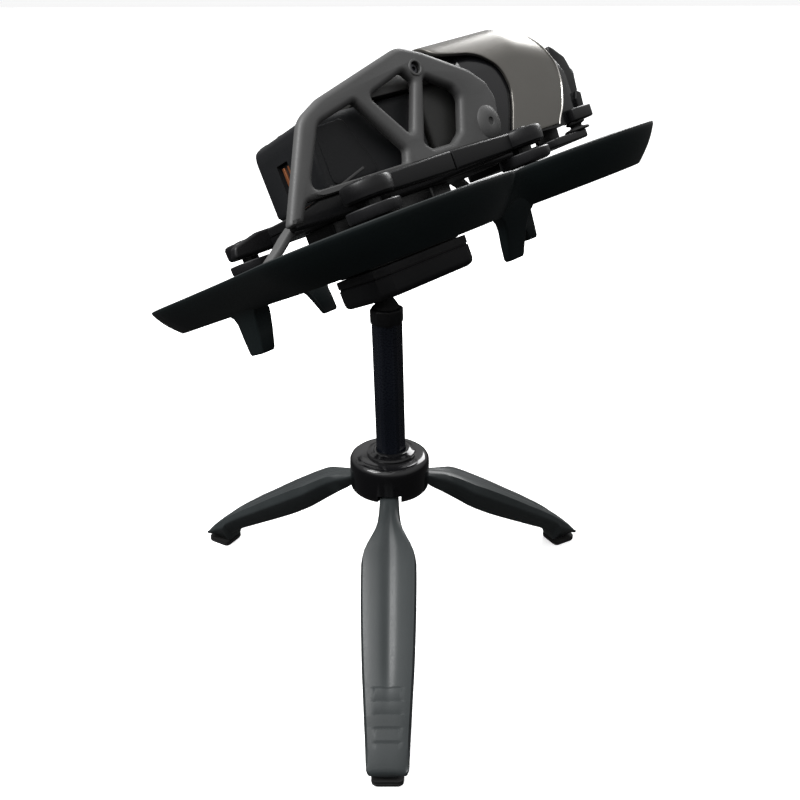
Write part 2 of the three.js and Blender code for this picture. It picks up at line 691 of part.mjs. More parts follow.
node(drone, "belly_shell", bellyShell(), black());
node(drone, "mid_deck", midDeck(), charcoal());
node(drone, "circuit_board", box([-21, -13, 2.2], [21, 13, 3.8]), finish(0x1f4a35, 0.5));
node(drone, "side_cage_left", sideCage("left"), charcoal());
node(drone, "side_cage_right", sideCage("right"), charcoal());
node(drone, "upper_shell", upperShell(), black());
node(drone, "battery_case", batteryCase(), charcoal());
node(drone, "battery_contacts", contactStrip(), finish(0xb4632c, 0.4, 0.9));
node(drone, "battery_latch_left", batteryLatch(1), black());
node(drone, "battery_latch_right", batteryLatch(-1), black());
node(drone, "power_button", powerButton(), black());
node(drone, "camera_hood", cameraHood(), metallicGrey());
node(drone, "nose_shell", noseShell(), black());
node(drone, "gimbal_plate", gimbalPlate(), black());
node(drone, "damper_left", damper(1), rubber());
node(drone, "damper_right", damper(-1), rubber());
node(drone, "camera_body", cameraBody(), black());
node(drone, "lens_barrel", lensBarrel(), black());
node(drone, "lens_glass", lensGlass(), finish(0x101418, 0.05, 0.2));

// Stand the object on the table, with its origin under the middle of its own box
const bounds = new THREE.Box3().setFromObject(object, true);
const middle = bounds.getCenter(new THREE.Vector3());
object.position.set(-middle.x, -middle.y, -bounds.min.z);

export default object;
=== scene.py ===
# A ducted camera drone held nose-up on a folding table tripod.
# Lengths are millimetres in each piece's own space, and place() turns them into the frame's metres.
import bpy
import bmesh
import math
from mathutils import Matrix, Vector
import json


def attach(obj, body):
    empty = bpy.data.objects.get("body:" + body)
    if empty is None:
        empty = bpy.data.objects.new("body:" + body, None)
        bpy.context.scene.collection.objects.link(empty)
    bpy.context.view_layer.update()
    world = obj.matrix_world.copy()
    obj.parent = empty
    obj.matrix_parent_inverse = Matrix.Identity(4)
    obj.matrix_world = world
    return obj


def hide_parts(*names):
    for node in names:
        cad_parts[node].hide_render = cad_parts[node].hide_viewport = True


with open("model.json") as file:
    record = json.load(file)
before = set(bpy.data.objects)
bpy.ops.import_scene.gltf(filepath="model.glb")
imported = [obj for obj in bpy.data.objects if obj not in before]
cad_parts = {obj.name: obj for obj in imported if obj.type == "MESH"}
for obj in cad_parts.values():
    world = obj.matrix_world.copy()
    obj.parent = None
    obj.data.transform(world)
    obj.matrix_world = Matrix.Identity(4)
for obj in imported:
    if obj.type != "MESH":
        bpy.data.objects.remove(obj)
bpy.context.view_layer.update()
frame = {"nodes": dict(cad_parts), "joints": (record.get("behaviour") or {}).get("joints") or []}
joints = {joint["name"]: joint for joint in frame["joints"]}
corners = {"front_left": (1, 1), "front_right": (1, -1), "rear_left": (-1, 1), "rear_right": (-1, -1)}


def jointPoint(name):
    return Vector(joints[name]["pos_m"])


def droneMatrix():
    # +X to the nose, +Y to the drone's left, z = 0 at the lip of the ring guard
    up = Vector(joints["rotor_spin_front_left"]["axis"]).normalized()
    nose = -Vector(joints["battery_slide"]["axis"]).normalized()
    left = up.cross(nose)
    middle = sum((jointPoint("rotor_spin_" + name) for name in corners), Vector()) / 4
    turn = Matrix((nose, left, up)).transposed().to_4x4()
    return Matrix.Translation(middle) @ turn @ Matrix.Scale(0.001, 4)


def standMatrix():
    # the tripod's axis at x = y = 0, the table at z = 0
    legs = [jointPoint("leg_fold_" + name) for name in ("front", "left", "right")]
    middle = sum(legs, Vector()) / 3
    return Matrix.Translation((middle.x, middle.y, 0)) @ Matrix.Scale(0.001, 4)


droneSpace = droneMatrix()
standSpace = standMatrix()
motorPoints = {name: droneSpace.inverted() @ jointPoint("rotor_spin_" + name) for name in corners}
motor = {"x": abs(motorPoints["front_left"].x), "y": abs(motorPoints["front_left"].y)}


def span(node, space=droneSpace):
    # lowest and highest corner of a CAD node, in a space's own millimetres
    points = [space.inverted() @ vertex.co for vertex in frame["nodes"][node].data.vertices]
    low = Vector([min(point[i] for point in points) for i in range(3)])
    return low, Vector([max(point[i] for point in points) for i in range(3)])


def newMesh(name, points, faces):
    mesh = bpy.data.meshes.new(name)
    mesh.from_pydata([tuple(point) for point in points], [], faces)
    mesh.update()
    return mesh


def finishMesh(mesh, near=0.0005):
    # merges points that lie in one place, and turns all faces outwards
    build = bmesh.new()
    build.from_mesh(mesh)
    bmesh.ops.remove_doubles(build, verts=build.verts, dist=near)
    bmesh.ops.recalc_face_normals(build, faces=build.faces)
    build.to_mesh(mesh)
    build.free()


def smooth(mesh, degrees=32):
    mesh.polygons.foreach_set("use_smooth", [True] * len(mesh.polygons))
    mesh.set_sharp_from_angle(angle=math.radians(degrees))


def newPiece(name, mesh):
    piece = bpy.data.objects.new(name, mesh)
    bpy.context.scene.collection.objects.link(piece)
    return piece


def applied(piece):
    # bakes a piece's modifiers into a new mesh
    bpy.context.view_layer.update()
    graph = bpy.context.evaluated_depsgraph_get()
    mesh = bpy.data.meshes.new_from_object(piece.evaluated_get(graph))
    piece.modifiers.clear()
    if piece.type == "CURVE":
        name = piece.name
        bpy.data.objects.remove(piece)
        return newPiece(name, mesh)
    piece.data = mesh
    return piece


def bevel(piece, width, segments=3, degrees=30):
    edge = piece.modifiers.new("bevel", "BEVEL")
    edge.width = width
    edge.segments = segments
    edge.limit_method = "ANGLE"
    edge.angle_limit = math.radians(degrees)
    edge.use_clamp_overlap = True
    return applied(piece)


def carve(piece, *cutters):
    for cutter in cutters:
        cut = piece.modifiers.new("cut", "BOOLEAN")
        cut.operation = "DIFFERENCE"
        cut.solver = "EXACT"
        cut.object = cutter
        piece = applied(piece)
        bpy.data.objects.remove(cutter)
    return piece


def thicken(piece, thickness):
    shell = piece.modifiers.new("shell", "SOLIDIFY")
    shell.thickness = thickness
    shell.offset = -1
    return applied(piece)


def merge(name, pieces):
    build = bmesh.new()
    for piece in pieces:
        build.from_mesh(piece.data)
        bpy.data.objects.remove(piece)
    mesh = bpy.data.meshes.new(name)
    build.to_mesh(mesh)
    build.free()
    return newPiece(name, mesh)


def place(piece, space, body, material, replaces=(), degrees=32):
    # moves the mesh from millimetres into the frame, and hands the piece to its body
    if piece.data.users > 1:
        piece.data = piece.data.copy()
    piece.data.transform(space)
    finishMesh(piece.data, 0.0000005)
    smooth(piece.data, degrees)
    piece.data.materials.clear()
    piece.data.materials.append(material)
    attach(piece, body)
    if replaces:
        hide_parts(*replaces)
    return piece


def loft(name, rings, loop=False, capped=True):
    # a skin through rings of points; loop joins the last ring to the first
    count = len(rings[0])
    points = [point for ring in rings for point in ring]
    faces = []
    last = len(rings) if loop else len(rings) - 1
    for i in range(last):
        here, there = i * count, ((i + 1) % len(rings)) * count
        for k in range(count):
            following = (k + 1) % count
            faces.append((here + k, here + following, there + following, there + k))
    if capped and not loop:
        faces.append(tuple(range(count - 1, -1, -1)))
        faces.append(tuple(range((len(rings) - 1) * count, len(rings) * count)))
    mesh = newMesh(name, points, faces)
    finishMesh(mesh)
    return newPiece(name, mesh)


def sheet(name, rows):
    # an open surface through rows of points
    count = len(rows[0])
    faces = []
    for i in range(len(rows) - 1):
        for k in range(count - 1):
            a = i * count + k
            faces.append((a, a + 1, a + count + 1, a + count))
    mesh = newMesh(name, [point for row in rows for point in row], faces)
    return newPiece(name, mesh)


def turned(name, profile, segments=48, axis="Z", at=(0, 0, 0)):
    # a turned piece; profile is (radius, height) pairs from bottom to top
    rings = []
    for radius, height in profile:
        wide = max(radius, 0.001)
        ring = []
        for i in range(segments):
            angle = 2 * math.pi * i / segments
            ring.append(Vector((wide * math.cos(angle), wide * math.sin(angle), height)))
        rings.append(ring)
    piece = loft(name, rings)
    turns = {"Z": Matrix.Identity(4), "X": Matrix.Rotation(math.pi / 2, 4, "Y"),
             "Y": Matrix.Rotation(-math.pi / 2, 4, "X")}
    piece.data.transform(Matrix.Translation(at) @ turns[axis])
    return piece


def block(name, low, high, edge=0.4, segments=3):
    # a box with worked edges
    xs, ys, zs = zip(low, high)
    corner = [Vector((xs[i], ys[j], zs[k])) for k in (0, 1) for i, j in ((0, 0), (1, 0), (1, 1), (0, 1))]
    piece = loft(name, [corner[:4], corner[4:]])
    return bevel(piece, edge, segments) if edge else piece


def rounded(points, radius, steps=5):
    # an outline with its corners turned into arcs; radius is one number, or one for each point
    radii = radius if isinstance(radius, (list, tuple)) else [radius] * len(points)
    result = []
    for i, point in enumerate(points):
        here = Vector(point)
        before = Vector(points[i - 1]) - here
        after = Vector(points[(i + 1) % len(points)]) - here
        angle = before.angle(after)
        reach = radii[i] / math.tan(angle / 2)
        reach = min(reach, before.length * 0.48, after.length * 0.48)
        if reach < 0.05:
            result.append(here)
            continue
        start = here + before.normalized() * reach
        end = here + after.normalized() * reach
        for k in range(steps + 1):
            t = k / steps
            result.append(start * (1 - t) ** 2 + here * 2 * t * (1 - t) + end * t * t)
    return result


def plate(name, outline, low, high, holes=(), edge=0.8, plane="XZ", segments=3):
    # a flat piece with rounded edges, drawn as outlines in a plane and given its thickness across it
    curve = bpy.data.curves.new(name, "CURVE")
    curve.dimensions = "2D"
    curve.fill_mode = "BOTH"
    curve.extrude = (high - low) / 2 - edge
    curve.bevel_depth = edge
    curve.bevel_resolution = segments
    curve.offset = -edge
    for points in [outline, *holes]:
        spline = curve.splines.new("POLY")
        spline.points.add(len(points) - 1)
        spline.use_cyclic_u = True
        for slot, point in zip(spline.points, points):
            slot.co = (point[0], point[1], 0, 1)
    piece = applied(newPiece(name, curve))
    middle = (high + low) / 2
    if plane == "XZ":
        piece.data.transform(Matrix.Translation((0, middle, 0)) @ Matrix.Rotation(math.pi / 2, 4, "X"))
    elif plane == "YZ":
        stand = Matrix(((0, 0, 1, 0), (1, 0, 0, 0), (0, 1, 0, 0), (0, 0, 0, 1)))
        piece.data.transform(Matrix.Translation((middle, 0, 0)) @ stand)
    else:
        piece.data.transform(Matrix.Translation((0, 0, middle)))
    return piece


def ellipseBox(halfLong, halfWide, radius, steps=6):
    # a rectangle with round corners, centred, going round once
    corner = [(halfLong, -halfWide), (halfLong, halfWide), (-halfLong, halfWide), (-halfLong, -halfWide)]
    return rounded(corner, radius, steps)


def ease(t):
    t = min(max(t, 0), 1)
    return t * t * (3 - 2 * t)


def along(table, t):
    # reads a value from (position, value, ...) rows that rise in position, easing straight between them
    if t <= table[0][0]:
        return table[0][1:]
    for low, high in zip(table, table[1:]):
        if t <= high[0]:
            share = (t - low[0]) / (high[0] - low[0])
            return [a + (b - a) * share for a, b in zip(low[1:], high[1:])]
    return table[-1][1:]


def plasticMaterial(name, color, roughness, grain=1400, bump=0.12, patchy=0.12, metallic=0.0, coat=0.0,
                    wear=0.5, specular=0.5):
    material = bpy.data.materials.new(name)
    material.use_nodes = True
    nodes = material.node_tree.nodes
    link = material.node_tree.links.new
    shader = nodes["Principled BSDF"]
    shader.inputs["Metallic"].default_value = metallic
    shader.inputs["Coat Weight"].default_value = coat
    shader.inputs["Coat Roughness"].default_value = 0.12
    shader.inputs["Specular IOR Level"].default_value = specular
    spot = nodes.new("ShaderNodeTexCoord")
    # slow change of tone, like moulding flow and handling
    cloud = nodes.new("ShaderNodeTexNoise")
    cloud.inputs["Scale"].default_value = 38
    cloud.inputs["Detail"].default_value = 5
    link(spot.outputs["Object"], cloud.inputs["Vector"])
    tone = nodes.new("ShaderNodeMapRange")
    tone.inputs["From Min"].default_value = 0.3
    tone.inputs["From Max"].default_value = 0.7
    tone.inputs["To Min"].default_value = 1 - patchy
    tone.inputs["To Max"].default_value = 1 + patchy
    link(cloud.outputs["Fac"], tone.inputs["Value"])
    tint = nodes.new("ShaderNodeVectorMath")
    tint.operation = "SCALE"
    tint.inputs[0].default_value = color
    link(tone.outputs["Result"], tint.inputs["Scale"])
    # fine moulded grain
    fine = nodes.new("ShaderNodeTexNoise")
    fine.inputs["Scale"].default_value = grain
    fine.inputs["Detail"].default_value = 3
    link(spot.outputs["Object"], fine.inputs["Vector"])
    # worn edges are a little lighter
    shape = nodes.new("ShaderNodeNewGeometry")
    edge = nodes.new("ShaderNodeMapRange")
    edge.inputs["From Min"].default_value = 0.52
    edge.inputs["From Max"].default_value = 0.62
    edge.inputs["To Max"].default_value = wear
    link(shape.outputs["Pointiness"], edge.inputs["Value"])
    rub = nodes.new("ShaderNodeMath")
    rub.operation = "MULTIPLY"
    link(edge.outputs["Result"], rub.inputs[0])
    link(cloud.outputs["Fac"], rub.inputs[1])
    mix = nodes.new("ShaderNodeMix")
    mix.data_type = "RGBA"
    mix.inputs["B"].default_value = [min(1, value * 2.2 + 0.03) for value in color] + [1]
    link(rub.outputs["Value"], mix.inputs["Factor"])
    link(tint.outputs["Vector"], mix.inputs["A"])
    link(mix.outputs["Result"], shader.inputs["Base Color"])
    rough = nodes.new("ShaderNodeMapRange")
    rough.inputs["From Min"].default_value = 0.25
    rough.inputs["From Max"].default_value = 0.75
    rough.inputs["To Min"].default_value = roughness * 0.86
    rough.inputs["To Max"].default_value = min(1, roughness * 1.14)
    link(fine.outputs["Fac"], rough.inputs["Value"])
    link(rough.outputs["Result"], shader.inputs["Roughness"])
    relief = nodes.new("ShaderNodeBump")
    relief.inputs["Strength"].default_value = bump
    relief.inputs["Distance"].default_value = 0.0002
    link(fine.outputs["Fac"], relief.inputs["Height"])
    link(relief.outputs["Normal"], shader.inputs["Normal"])
    return material


frameGrey = plasticMaterial("frame_grey", (0.056, 0.056, 0.056), 0.5, wear=0.15, specular=0.3)
frameBlack = plasticMaterial("frame_black", (0.004, 0.004, 0.0045), 0.36, wear=0.2, specular=0.2)
guardBlack = plasticMaterial("guard_black", (0.005, 0.0075, 0.008), 0.40, wear=0.2, specular=0.2)
shellBlack = plasticMaterial("shell_black", (0.006, 0.006, 0.007), 0.22, grain=900, bump=0.04, wear=0.2,
                             specular=0.4)
satinBlack = plasticMaterial("satin_black", (0.006, 0.006, 0.0065), 0.36, wear=0.25, specular=0.25)
shellGrey = plasticMaterial("shell_grey", (0.022, 0.022, 0.021), 0.4, wear=0.2, specular=0.3)
rotorBlack = plasticMaterial("rotor_black", (0.007, 0.007, 0.008), 0.4, specular=0.3)
bladeBlack = plasticMaterial("blade_black", (0.006, 0.006, 0.007), 0.3, grain=700, bump=0.05, specular=0.35)
batteryGrey = plasticMaterial("battery_grey", (0.008, 0.0085, 0.0095), 0.52, bump=0.2, wear=0.3,
                              specular=0.22)
hoodMetal = plasticMaterial("hood_metallic", (0.13, 0.125, 0.115), 0.36, grain=2600, bump=0.05, patchy=0.05,
                            metallic=0.8, wear=0.2)
# a much brighter copy of the hood's metal: a painted highlight for the light line along the hood's front edge
rimPaintedHighlight = plasticMaterial("rim_painted_highlight", (0.5, 0.48, 0.45), 0.26, metallic=0.9, bump=0.04)
legPlastic = plasticMaterial("leg_plastic", (0.022, 0.026, 0.027), 0.42, bump=0.16, wear=0.2, specular=0.35)
hubGloss = plasticMaterial("hub_gloss", (0.003, 0.003, 0.0035), 0.12, grain=600, bump=0.02, coat=0.2,
                           specular=0.3)
poleBlack = plasticMaterial("pole_black", (0.004, 0.005, 0.008), 0.28, grain=1100, bump=0.02, specular=0.2)
cradleBlack = plasticMaterial("cradle_black", (0.003, 0.003, 0.0035), 0.42, bump=0.1, specular=0.14)
rubberBlack = plasticMaterial("rubber", (0.007, 0.007, 0.007), 0.78, grain=2000, bump=0.3, wear=0.1,
                              specular=0.25)
steelDark = plasticMaterial("steel_dark", (0.05, 0.05, 0.055), 0.35, metallic=1.0)
copperBare = plasticMaterial("copper", (0.22, 0.075, 0.028), 0.45, metallic=0.6, bump=0.05)
cameraBlack = plasticMaterial("camera_black", (0.008, 0.008, 0.009), 0.35, specular=0.35)
boardGreen = plasticMaterial("circuit", (0.015, 0.09, 0.045), 0.4)
lensMaterial = plasticMaterial("lens_coated", (0.006, 0.008, 0.016), 0.05, grain=300, bump=0.0, patchy=0.4,
                               coat=1.0, wear=0.0)


guard = {"lip": 51.9, "endWaist": 400, "sideWaist": 6, "height": 13.5, "slope": 8.8, "wall": 1.6}


def guardPath(stepDegrees=4):
    # the lip's line once round: (point, outward direction), from the middle of the nose's side, anticlockwise
    lip, endWaist, sideWaist = guard["lip"], guard["endWaist"], guard["sideWaist"]
    lobe = Vector((motor["x"], motor["y"]))
    end = Vector((lobe.x + math.sqrt((lip + endWaist) ** 2 - lobe.y ** 2), 0))
    side = Vector((0, lobe.y + math.sqrt((lip + sideWaist) ** 2 - lobe.x ** 2)))
    toEnd = math.atan2(end.y - lobe.y, end.x - lobe.x)
    toSide = math.atan2(side.y - lobe.y, side.x - lobe.x)
    quarter = []
    arcs = [(end, endWaist, math.pi, toEnd + math.pi, 7, -1), (lobe, lip, toEnd, toSide, None, 1),
            (side, sideWaist, toSide - math.pi, -math.pi / 2, 6, -1)]
    for middle, radius, start, stop, steps, out in arcs:
        steps = steps or int(abs(math.degrees(stop - start)) / stepDegrees)
        for i in range(steps if middle is not side else steps + 1):
            angle = start + (stop - start) * i / steps
            direction = Vector((math.cos(angle), math.sin(angle)))
            quarter.append((middle + direction * radius, direction * out))
    half = quarter + [(Vector((-p.x, p.y)), Vector((-n.x, n.y))) for p, n in reversed(quarter[:-1])]
    lower = [(Vector((p.x, -p.y)), Vector((n.x, -n.y))) for p, n in reversed(half[1:-1])]
    return half + lower


def guardSection():
    # distance out from the lip, and height: up the outside, over the lip bead and down the inside
    slope, height, wall = guard["slope"], guard["height"], guard["wall"]
    outer = []
    for i in range(9):
        t = i / 8
        bulge = math.sin(t * math.pi) * 1.1
        outer.append((-slope * (1 - t) + bulge * 0.8, -height + (height - 1.5) * t))
    bead = [(0.1, -0.9), (0.05, -0.35), (-0.35, 0.0), (-1.5, 0.1), (-2.3, -0.1), (-2.6, -0.6), (-2.7, -1.3)]
    inner = [(out - wall - 0.5, z) for out, z in reversed(outer)]
    inner[0] = (inner[0][0], -2.2)
    foot = [(-slope - wall * 0.9, -height - 0.45), (-slope - wall * 0.35, -height - 0.5)]
    return outer + bead + inner + foot


def ringGuard():
    section = guardSection()
    rings = []
    for point, out in guardPath():
        rings.append([Vector((point.x + out.x * away, point.y + out.y * away, z)) for away, z in section])
    body = loft("guard_ring", rings, loop=True)
    parts = [body]
    for alongX, sign in ((True, 1), (True, -1), (False, 1), (False, -1)):
        parts.append(landingFin(alongX, sign))
    for name, (sx, sy) in corners.items():
        if sx > 0 or sy < 0:  # the rear left quarter has no brace
            place(guardStay(sx, sy), droneSpace, "drone", frameGrey)
    piece = merge("ring_guard", parts)
    nodes = ["guard_" + name for name in corners]
    nodes += ["landing_fin_" + name for name in ("front", "rear", "left", "right")]
    place(piece, droneSpace, "drone", guardBlack, nodes, 40)


# the brace's route is x, y, height and width, from the deck down to the inside of the ring
brace = {
    "route": [(47.8, 20.5, 11.6, 8.4), (52, 21.3, 11.3, 8.0), (58, 22.3, 9.4, 7.4), (63, 23, 6.6, 7.0),
              (68, 23.6, 3.2, 6.8), (74, 24.2, -0.4, 6.8), (80, 24.8, -3.2, 7.2), (86.3, 25.2, -5.2, 8.0)],
    "frontShift": 12,
    "halfThick": 1.5,
    "corner": 1.1,
}


def guardStay(sx, sy):
    route = brace["route"]
    last = len(route) - 1
    if sx > 0:
        shift = brace["frontShift"]
        route = [(x + shift * (1 - i / last), y, z, wide) for i, (x, y, z, wide) in enumerate(route)]
    rings = []
    for i, (x, y, z, wide) in enumerate(route):
        ahead = Vector(route[min(i + 1, last)][:3]) - Vector(route[max(i - 1, 0)][:3])
        across = Vector((-ahead.y, ahead.x, 0)).normalized()
        up = ahead.cross(across).normalized()
        ring = [across * a + up * b for a,
                b in ellipseBox(wide / 2, brace["halfThick"], brace["corner"], 4)]
        rings.append([Vector((sx * (x + p.x), sy * (y + p.y), z + p.z)) for p in ring])
    return loft("guard_brace", rings)


# a fin's rows are height, outer face, half width and depth: a flared root that runs down into a narrow toe
fin = {
    "end": [(-6, 85.2, 24, 1.6), (-9.5, 83.3, 21, 2.2), (-12, 81.5, 16.5, 4.0), (-13.6, 80.6, 12.8, 6.2),
            (-15.4, 80.2, 10.3, 7.4), (-18, 80.2, 8.9, 7.6), (-24, 80.8, 7.6, 7.2), (-30.4, 81.2, 6.3, 6.2),
            (-31.5, 81.1, 5.6, 5.6)],
    "side": [(-7, 84.6, 13, 2), (-9, 84.2, 12.4, 2.6), (-11, 83.6, 11.4, 3.8), (-13.6, 82.4, 9.6, 5.2),
             (-16, 81.4, 7.2, 5.6), (-19, 79.6, 5.9, 5.2), (-24, 77.0, 5.1, 4.6), (-29.8, 74.5, 4.2, 3.9),
             (-30.9, 74.1, 3.6, 3.3)],
    "edge": 0.35,
}


def landingFin(alongX, sign):
    rings = []
    for z, out, half, deep in fin["end" if alongX else "side"]:
        corner = min(1.0, deep * 0.3)
        plan = ellipseBox(deep / 2, half, corner, 4)
        if alongX:
            rings.append([Vector((sign * (out - deep / 2 + a), b, z)) for a, b in plan])
        else:
            rings.append([Vector((b, sign * (out - deep / 2 + a), z)) for a, b in plan])
    return bevel(loft("fin", rings), fin["edge"], 2, 50)


# an arm's stations are the share of its length, half width, underside and top
armShape = {
    "pod": [(0, 8.6), (8.4, 8.6), (9.3, 8.9), (10, 9.8), (10.1, 11.4), (10.1, 14.4), (9.6, 15.4),
            (8.6, 15.9), (6.6, 16.0), (6.3, 15.6), (0, 15.6)],
    "stations": [(0, 9.6, 7.7, 16.0), (0.15, 8, 7.9, 16.1), (0.45, 6.3, 8.2, 15.8), (0.8, 5.8, 8.6, 15.4),
                 (1, 5.6, 9, 15.2)],
    "cap": [(0, 15.7), (4.4, 15.7), (4.4, 16.2), (4.0, 16.5), (0, 16.5)],
    "screw": [(0, 15.4), (1.2, 15.4), (1.2, 15.95), (0.9, 16.15), (0.5, 16.15), (0.4, 15.7), (0, 15.7)],
    "screwCircle": 6.9,
    "beamHalf": 4.4,
}


def motorArms():
    deckEdge = span("mid_deck")[1].y
    for name, (sx, sy) in corners.items():
        x, y = sx * motor["x"], sy * motor["y"]
        pod = turned("pod", armShape["pod"], 64, at=(x, y, 0))
        root = Vector((sx * 19, sy * (deckEdge - 1.5)))
        tip = Vector((x, y))
        forward = (tip - root).normalized()
        across = Vector((-forward.y, forward.x))
        rings = []
        for share, half, low, high in armShape["stations"]:
            at = root.lerp(tip, share)
            middle = (low + high) / 2
            rings.append([Vector((at.x + across.x * a, at.y + across.y * a, middle + b))
                          for a, b in ellipseBox(half, (high - low) / 2, 2.0, 4)])
        side = [(sx * 0.2, 8.4), (x, 8.9), (x, 15.4), (sx * 0.2, 16.2)]
        beam = plate("beam", side, y - armShape["beamHalf"], y + armShape["beamHalf"], (), 1.1)
        parts = [pod, loft("arm", rings), beam, turned("cap", armShape["cap"], 40, at=(x, y, 0))]
        away = armShape["screwCircle"]
        for turn in (45, 135, 225, 315):
            angle = math.radians(turn)
            at = (x + away * math.cos(angle), y + away * math.sin(angle), 0)
            parts.append(turned("screw", armShape["screw"], 16, at=at))
        piece = bevel(merge("motor_arm_" + name + "_shell", parts), 0.25, 2, 40)
        place(piece, droneSpace, "drone", frameBlack, ["motor_arm_" + name])


bell = {
    "cup": [(0, 1.5), (3.2, 1.5), (9.0, 1.6), (10.3, 2.1), (10.8, 3.0), (10.8, 5.9), (10.5, 6.3),
            (9.4, 6.3),
            (9.2, 5.8), (9.2, 3.0), (0, 3.0)],
    "vents": 9,
    "vent": ((4.2, -1.1, 0), (8.2, 1.1, 5)),
}


def rotorBells():
    for name, (sx, sy) in corners.items():
        centre = (sx * motor["x"], sy * motor["y"], 0)
        cup = turned("cup", bell["cup"], 64, at=centre)
        vents = []
        for i in range(bell["vents"]):
            vent = block("vent", *bell["vent"], 0)
            turn = Matrix.Rotation(2 * math.pi * i / bell["vents"], 4, "Z")
            vent.data.transform(Matrix.Translation(centre) @ turn)
            vents.append(vent)
        cup = bevel(carve(cup, merge("vents", vents)), 0.2, 2, 40)
        body = "rotor_" + name
        place(cup, droneSpace, body, rotorBlack, ["rotor_bell_" + name])
        blades = bladeSet(name, sx * sy, centre)
        place(blades, droneSpace, body, bladeBlack, ["propeller_" + name], 50)


# a blade's stations are the distance out, half chord, pitch in degrees and thickness
blade = {
    "radius": 37.2,
    "rows": 14,
    "turn": 12,
    "stations": [(3, 2.8, 34, 1.6), (9, 5.1, 29, 1.4), (18, 6.2, 22, 1.1), (28, 5.3, 16, 0.9),
                 (34, 3.9, 12.5, 0.7),
                 (36.4, 2.4, 11.5, 0.5), (37.2, 0.9, 11, 0.3)],
    "boss": [(0, -4.9), (2.6, -4.9), (3.6, -4.5), (4.3, -3.6), (4.4, -0.6), (4.2, 0.9), (0, 0.9)],
}


def bladeSet(name, hand, centre):
    parts = [turned("boss", blade["boss"], 40)]
    for third in range(3):
        rings = []
        for row in range(blade["rows"] + 1):
            r = 3 + (blade["radius"] - 3) * row / blade["rows"]
            half, pitch, thick = along(blade["stations"], r)
            slope = math.radians(pitch)
            ring = []
            for i in range(16):
                angle = 2 * math.pi * i / 16
                chord = math.cos(angle) * half
                camber = 0.10 * half * (1 - (chord / half) ** 2)
                lift = math.sin(angle) * thick / 2 * (1 - 0.35 * math.cos(angle)) + camber
                bend = 1.6 * math.sin(r / blade["radius"] * math.pi) - 1.2 * ease((r - 26) / 11)
                ring.append(Vector((r,
                                    hand * bend + chord * math.cos(slope) - lift * math.sin(slope) * hand,
                                    -2.2 + chord * math.sin(slope) * hand + lift * math.cos(slope))))
            rings.append(ring)
        piece = loft("blade", rings)
        piece.data.transform(Matrix.Rotation(math.radians(120 * third + blade["turn"]), 4, "Z"))
        parts.append(piece)
    piece = merge("propeller_" + name + "_blades", parts)
    piece.data.transform(Matrix.Translation(centre))
    return piece


cage = {
    "inner": 27,
    "outer": 33,
    "edge": 2.4,
    "screwAlong": 18.9,
    "collar": [(2.5, 1.9), (3.5, 1.9), (3.6, 0.2), (3.3, -0.35), (2.7, -0.4), (2.4, -0.1)],
    "footAt": (48.6, 25),
    "foot": [(0, -2), (7.4, -2), (6.9, -0.3), (5.8, 0.6), (4.2, 1.3), (2.6, 1.6), (1.6, 1.5), (1.4, 0.6),
             (0, 0.5)],
    "footStretch": 1.15,
}
# each corner is x, z and the radius it is rounded by; the left frame is lower and starts beside the battery
cageCorners = {
    "right": {
        "outline": [(-64.5, 9.4, 1.5), (-57.5, 9.4, 1.5), (-53, 16.3, 3), (50, 16.3, 3), (55.5, 24, 5),
                    (58, 34.6, 8), (55.2, 42.2, 6), (47.6, 49, 14), (25.3, 60.4, 14), (14, 64.6, 12),
                    (2.6, 61.6, 8), (-31.9, 52.4, 14),
                    (-43, 47, 14)],
        "windows": [
            [(-50, 19.4, 4), (-35.6, 43, 6), (-16, 47.8, 2.2), (0.4, 24.4, 2.5), (-1.6, 19.4, 2)],
            [(-8.2, 48.2, 2.2), (6.4, 28.8, 2.5), (16.4, 50, 2.2), (12.6, 54.6, 3)],
            [(11.2, 24.6, 1.5), (14.4, 21.6, 1.5), (26, 21.4, 4), (32, 25, 4), (38, 39, 4), (35.6, 43.2, 5),
             (22.2, 50.6, 2)],
        ],
        "screw": 54.6,
    },
    "left": {
        "outline": [(-28.6, 16.3, 3), (50, 16.3, 3), (55.5, 24, 5), (58, 34.6, 8), (55.2, 42.2, 6),
                    (47.6, 48, 12),
                    (30, 53.4, 8), (22, 53.4, 8), (4, 45.6, 8), (-22, 43.6, 8), (-28.6, 40, 8)],
        "windows": [
            [(-22, 22, 3), (-20.8, 36.6, 4), (-6, 37.8, 2.5), (-0.4, 25.2, 2.5), (-1.2, 22, 2)],
            [(11.8, 26.4, 2), (15.6, 22, 2), (24.6, 22, 4), (31.2, 25, 4), (37.4, 38.8, 4), (35.6, 42, 3),
             (25, 44.6, 4),
             (16, 40, 4)],
        ],
        "screw": 48.6,
    },
}


def roundedCorners(outline):
    return rounded([(x, z) for x, z, radius in outline], [radius for x, z, radius in outline], 7)


def sideCages():
    for name, side in (("left", 1), ("right", -1)):
        shape = cageCorners[name]
        near, far = sorted((side * cage["inner"], side * cage["outer"]))
        windows = [roundedCorners(window) for window in shape["windows"]]
        piece = plate("cage", roundedCorners(shape["outline"]), near, far, windows, cage["edge"],
                      segments=5)
        face = side * cage["outer"]
        along, high = cage["screwAlong"], shape["screw"]
        hole = turned("hole", [(0, -3), (2.5, -3), (2.5, 3), (0, 3)], 40, "Y", (along, face, high))
        parts = [carve(piece, hole)]
        collar = []
        for i in range(40):
            angle = 2 * math.pi * i / 40
            collar.append([Vector((along + r * math.cos(angle), face - side * depth,
                                   high + r * math.sin(angle)))
                           for r, depth in cage["collar"]])
        parts.append(loft("collar", collar, loop=True))
        parts.append(cageFoot(side, face))
        place(merge("side_cage_" + name + "_frame", parts), droneSpace, "drone", frameGrey,
              ["side_cage_" + name], 45)
        socketScrew("cage_screw_" + name, (along, side * (cage["outer"] - 1.6), high), side)


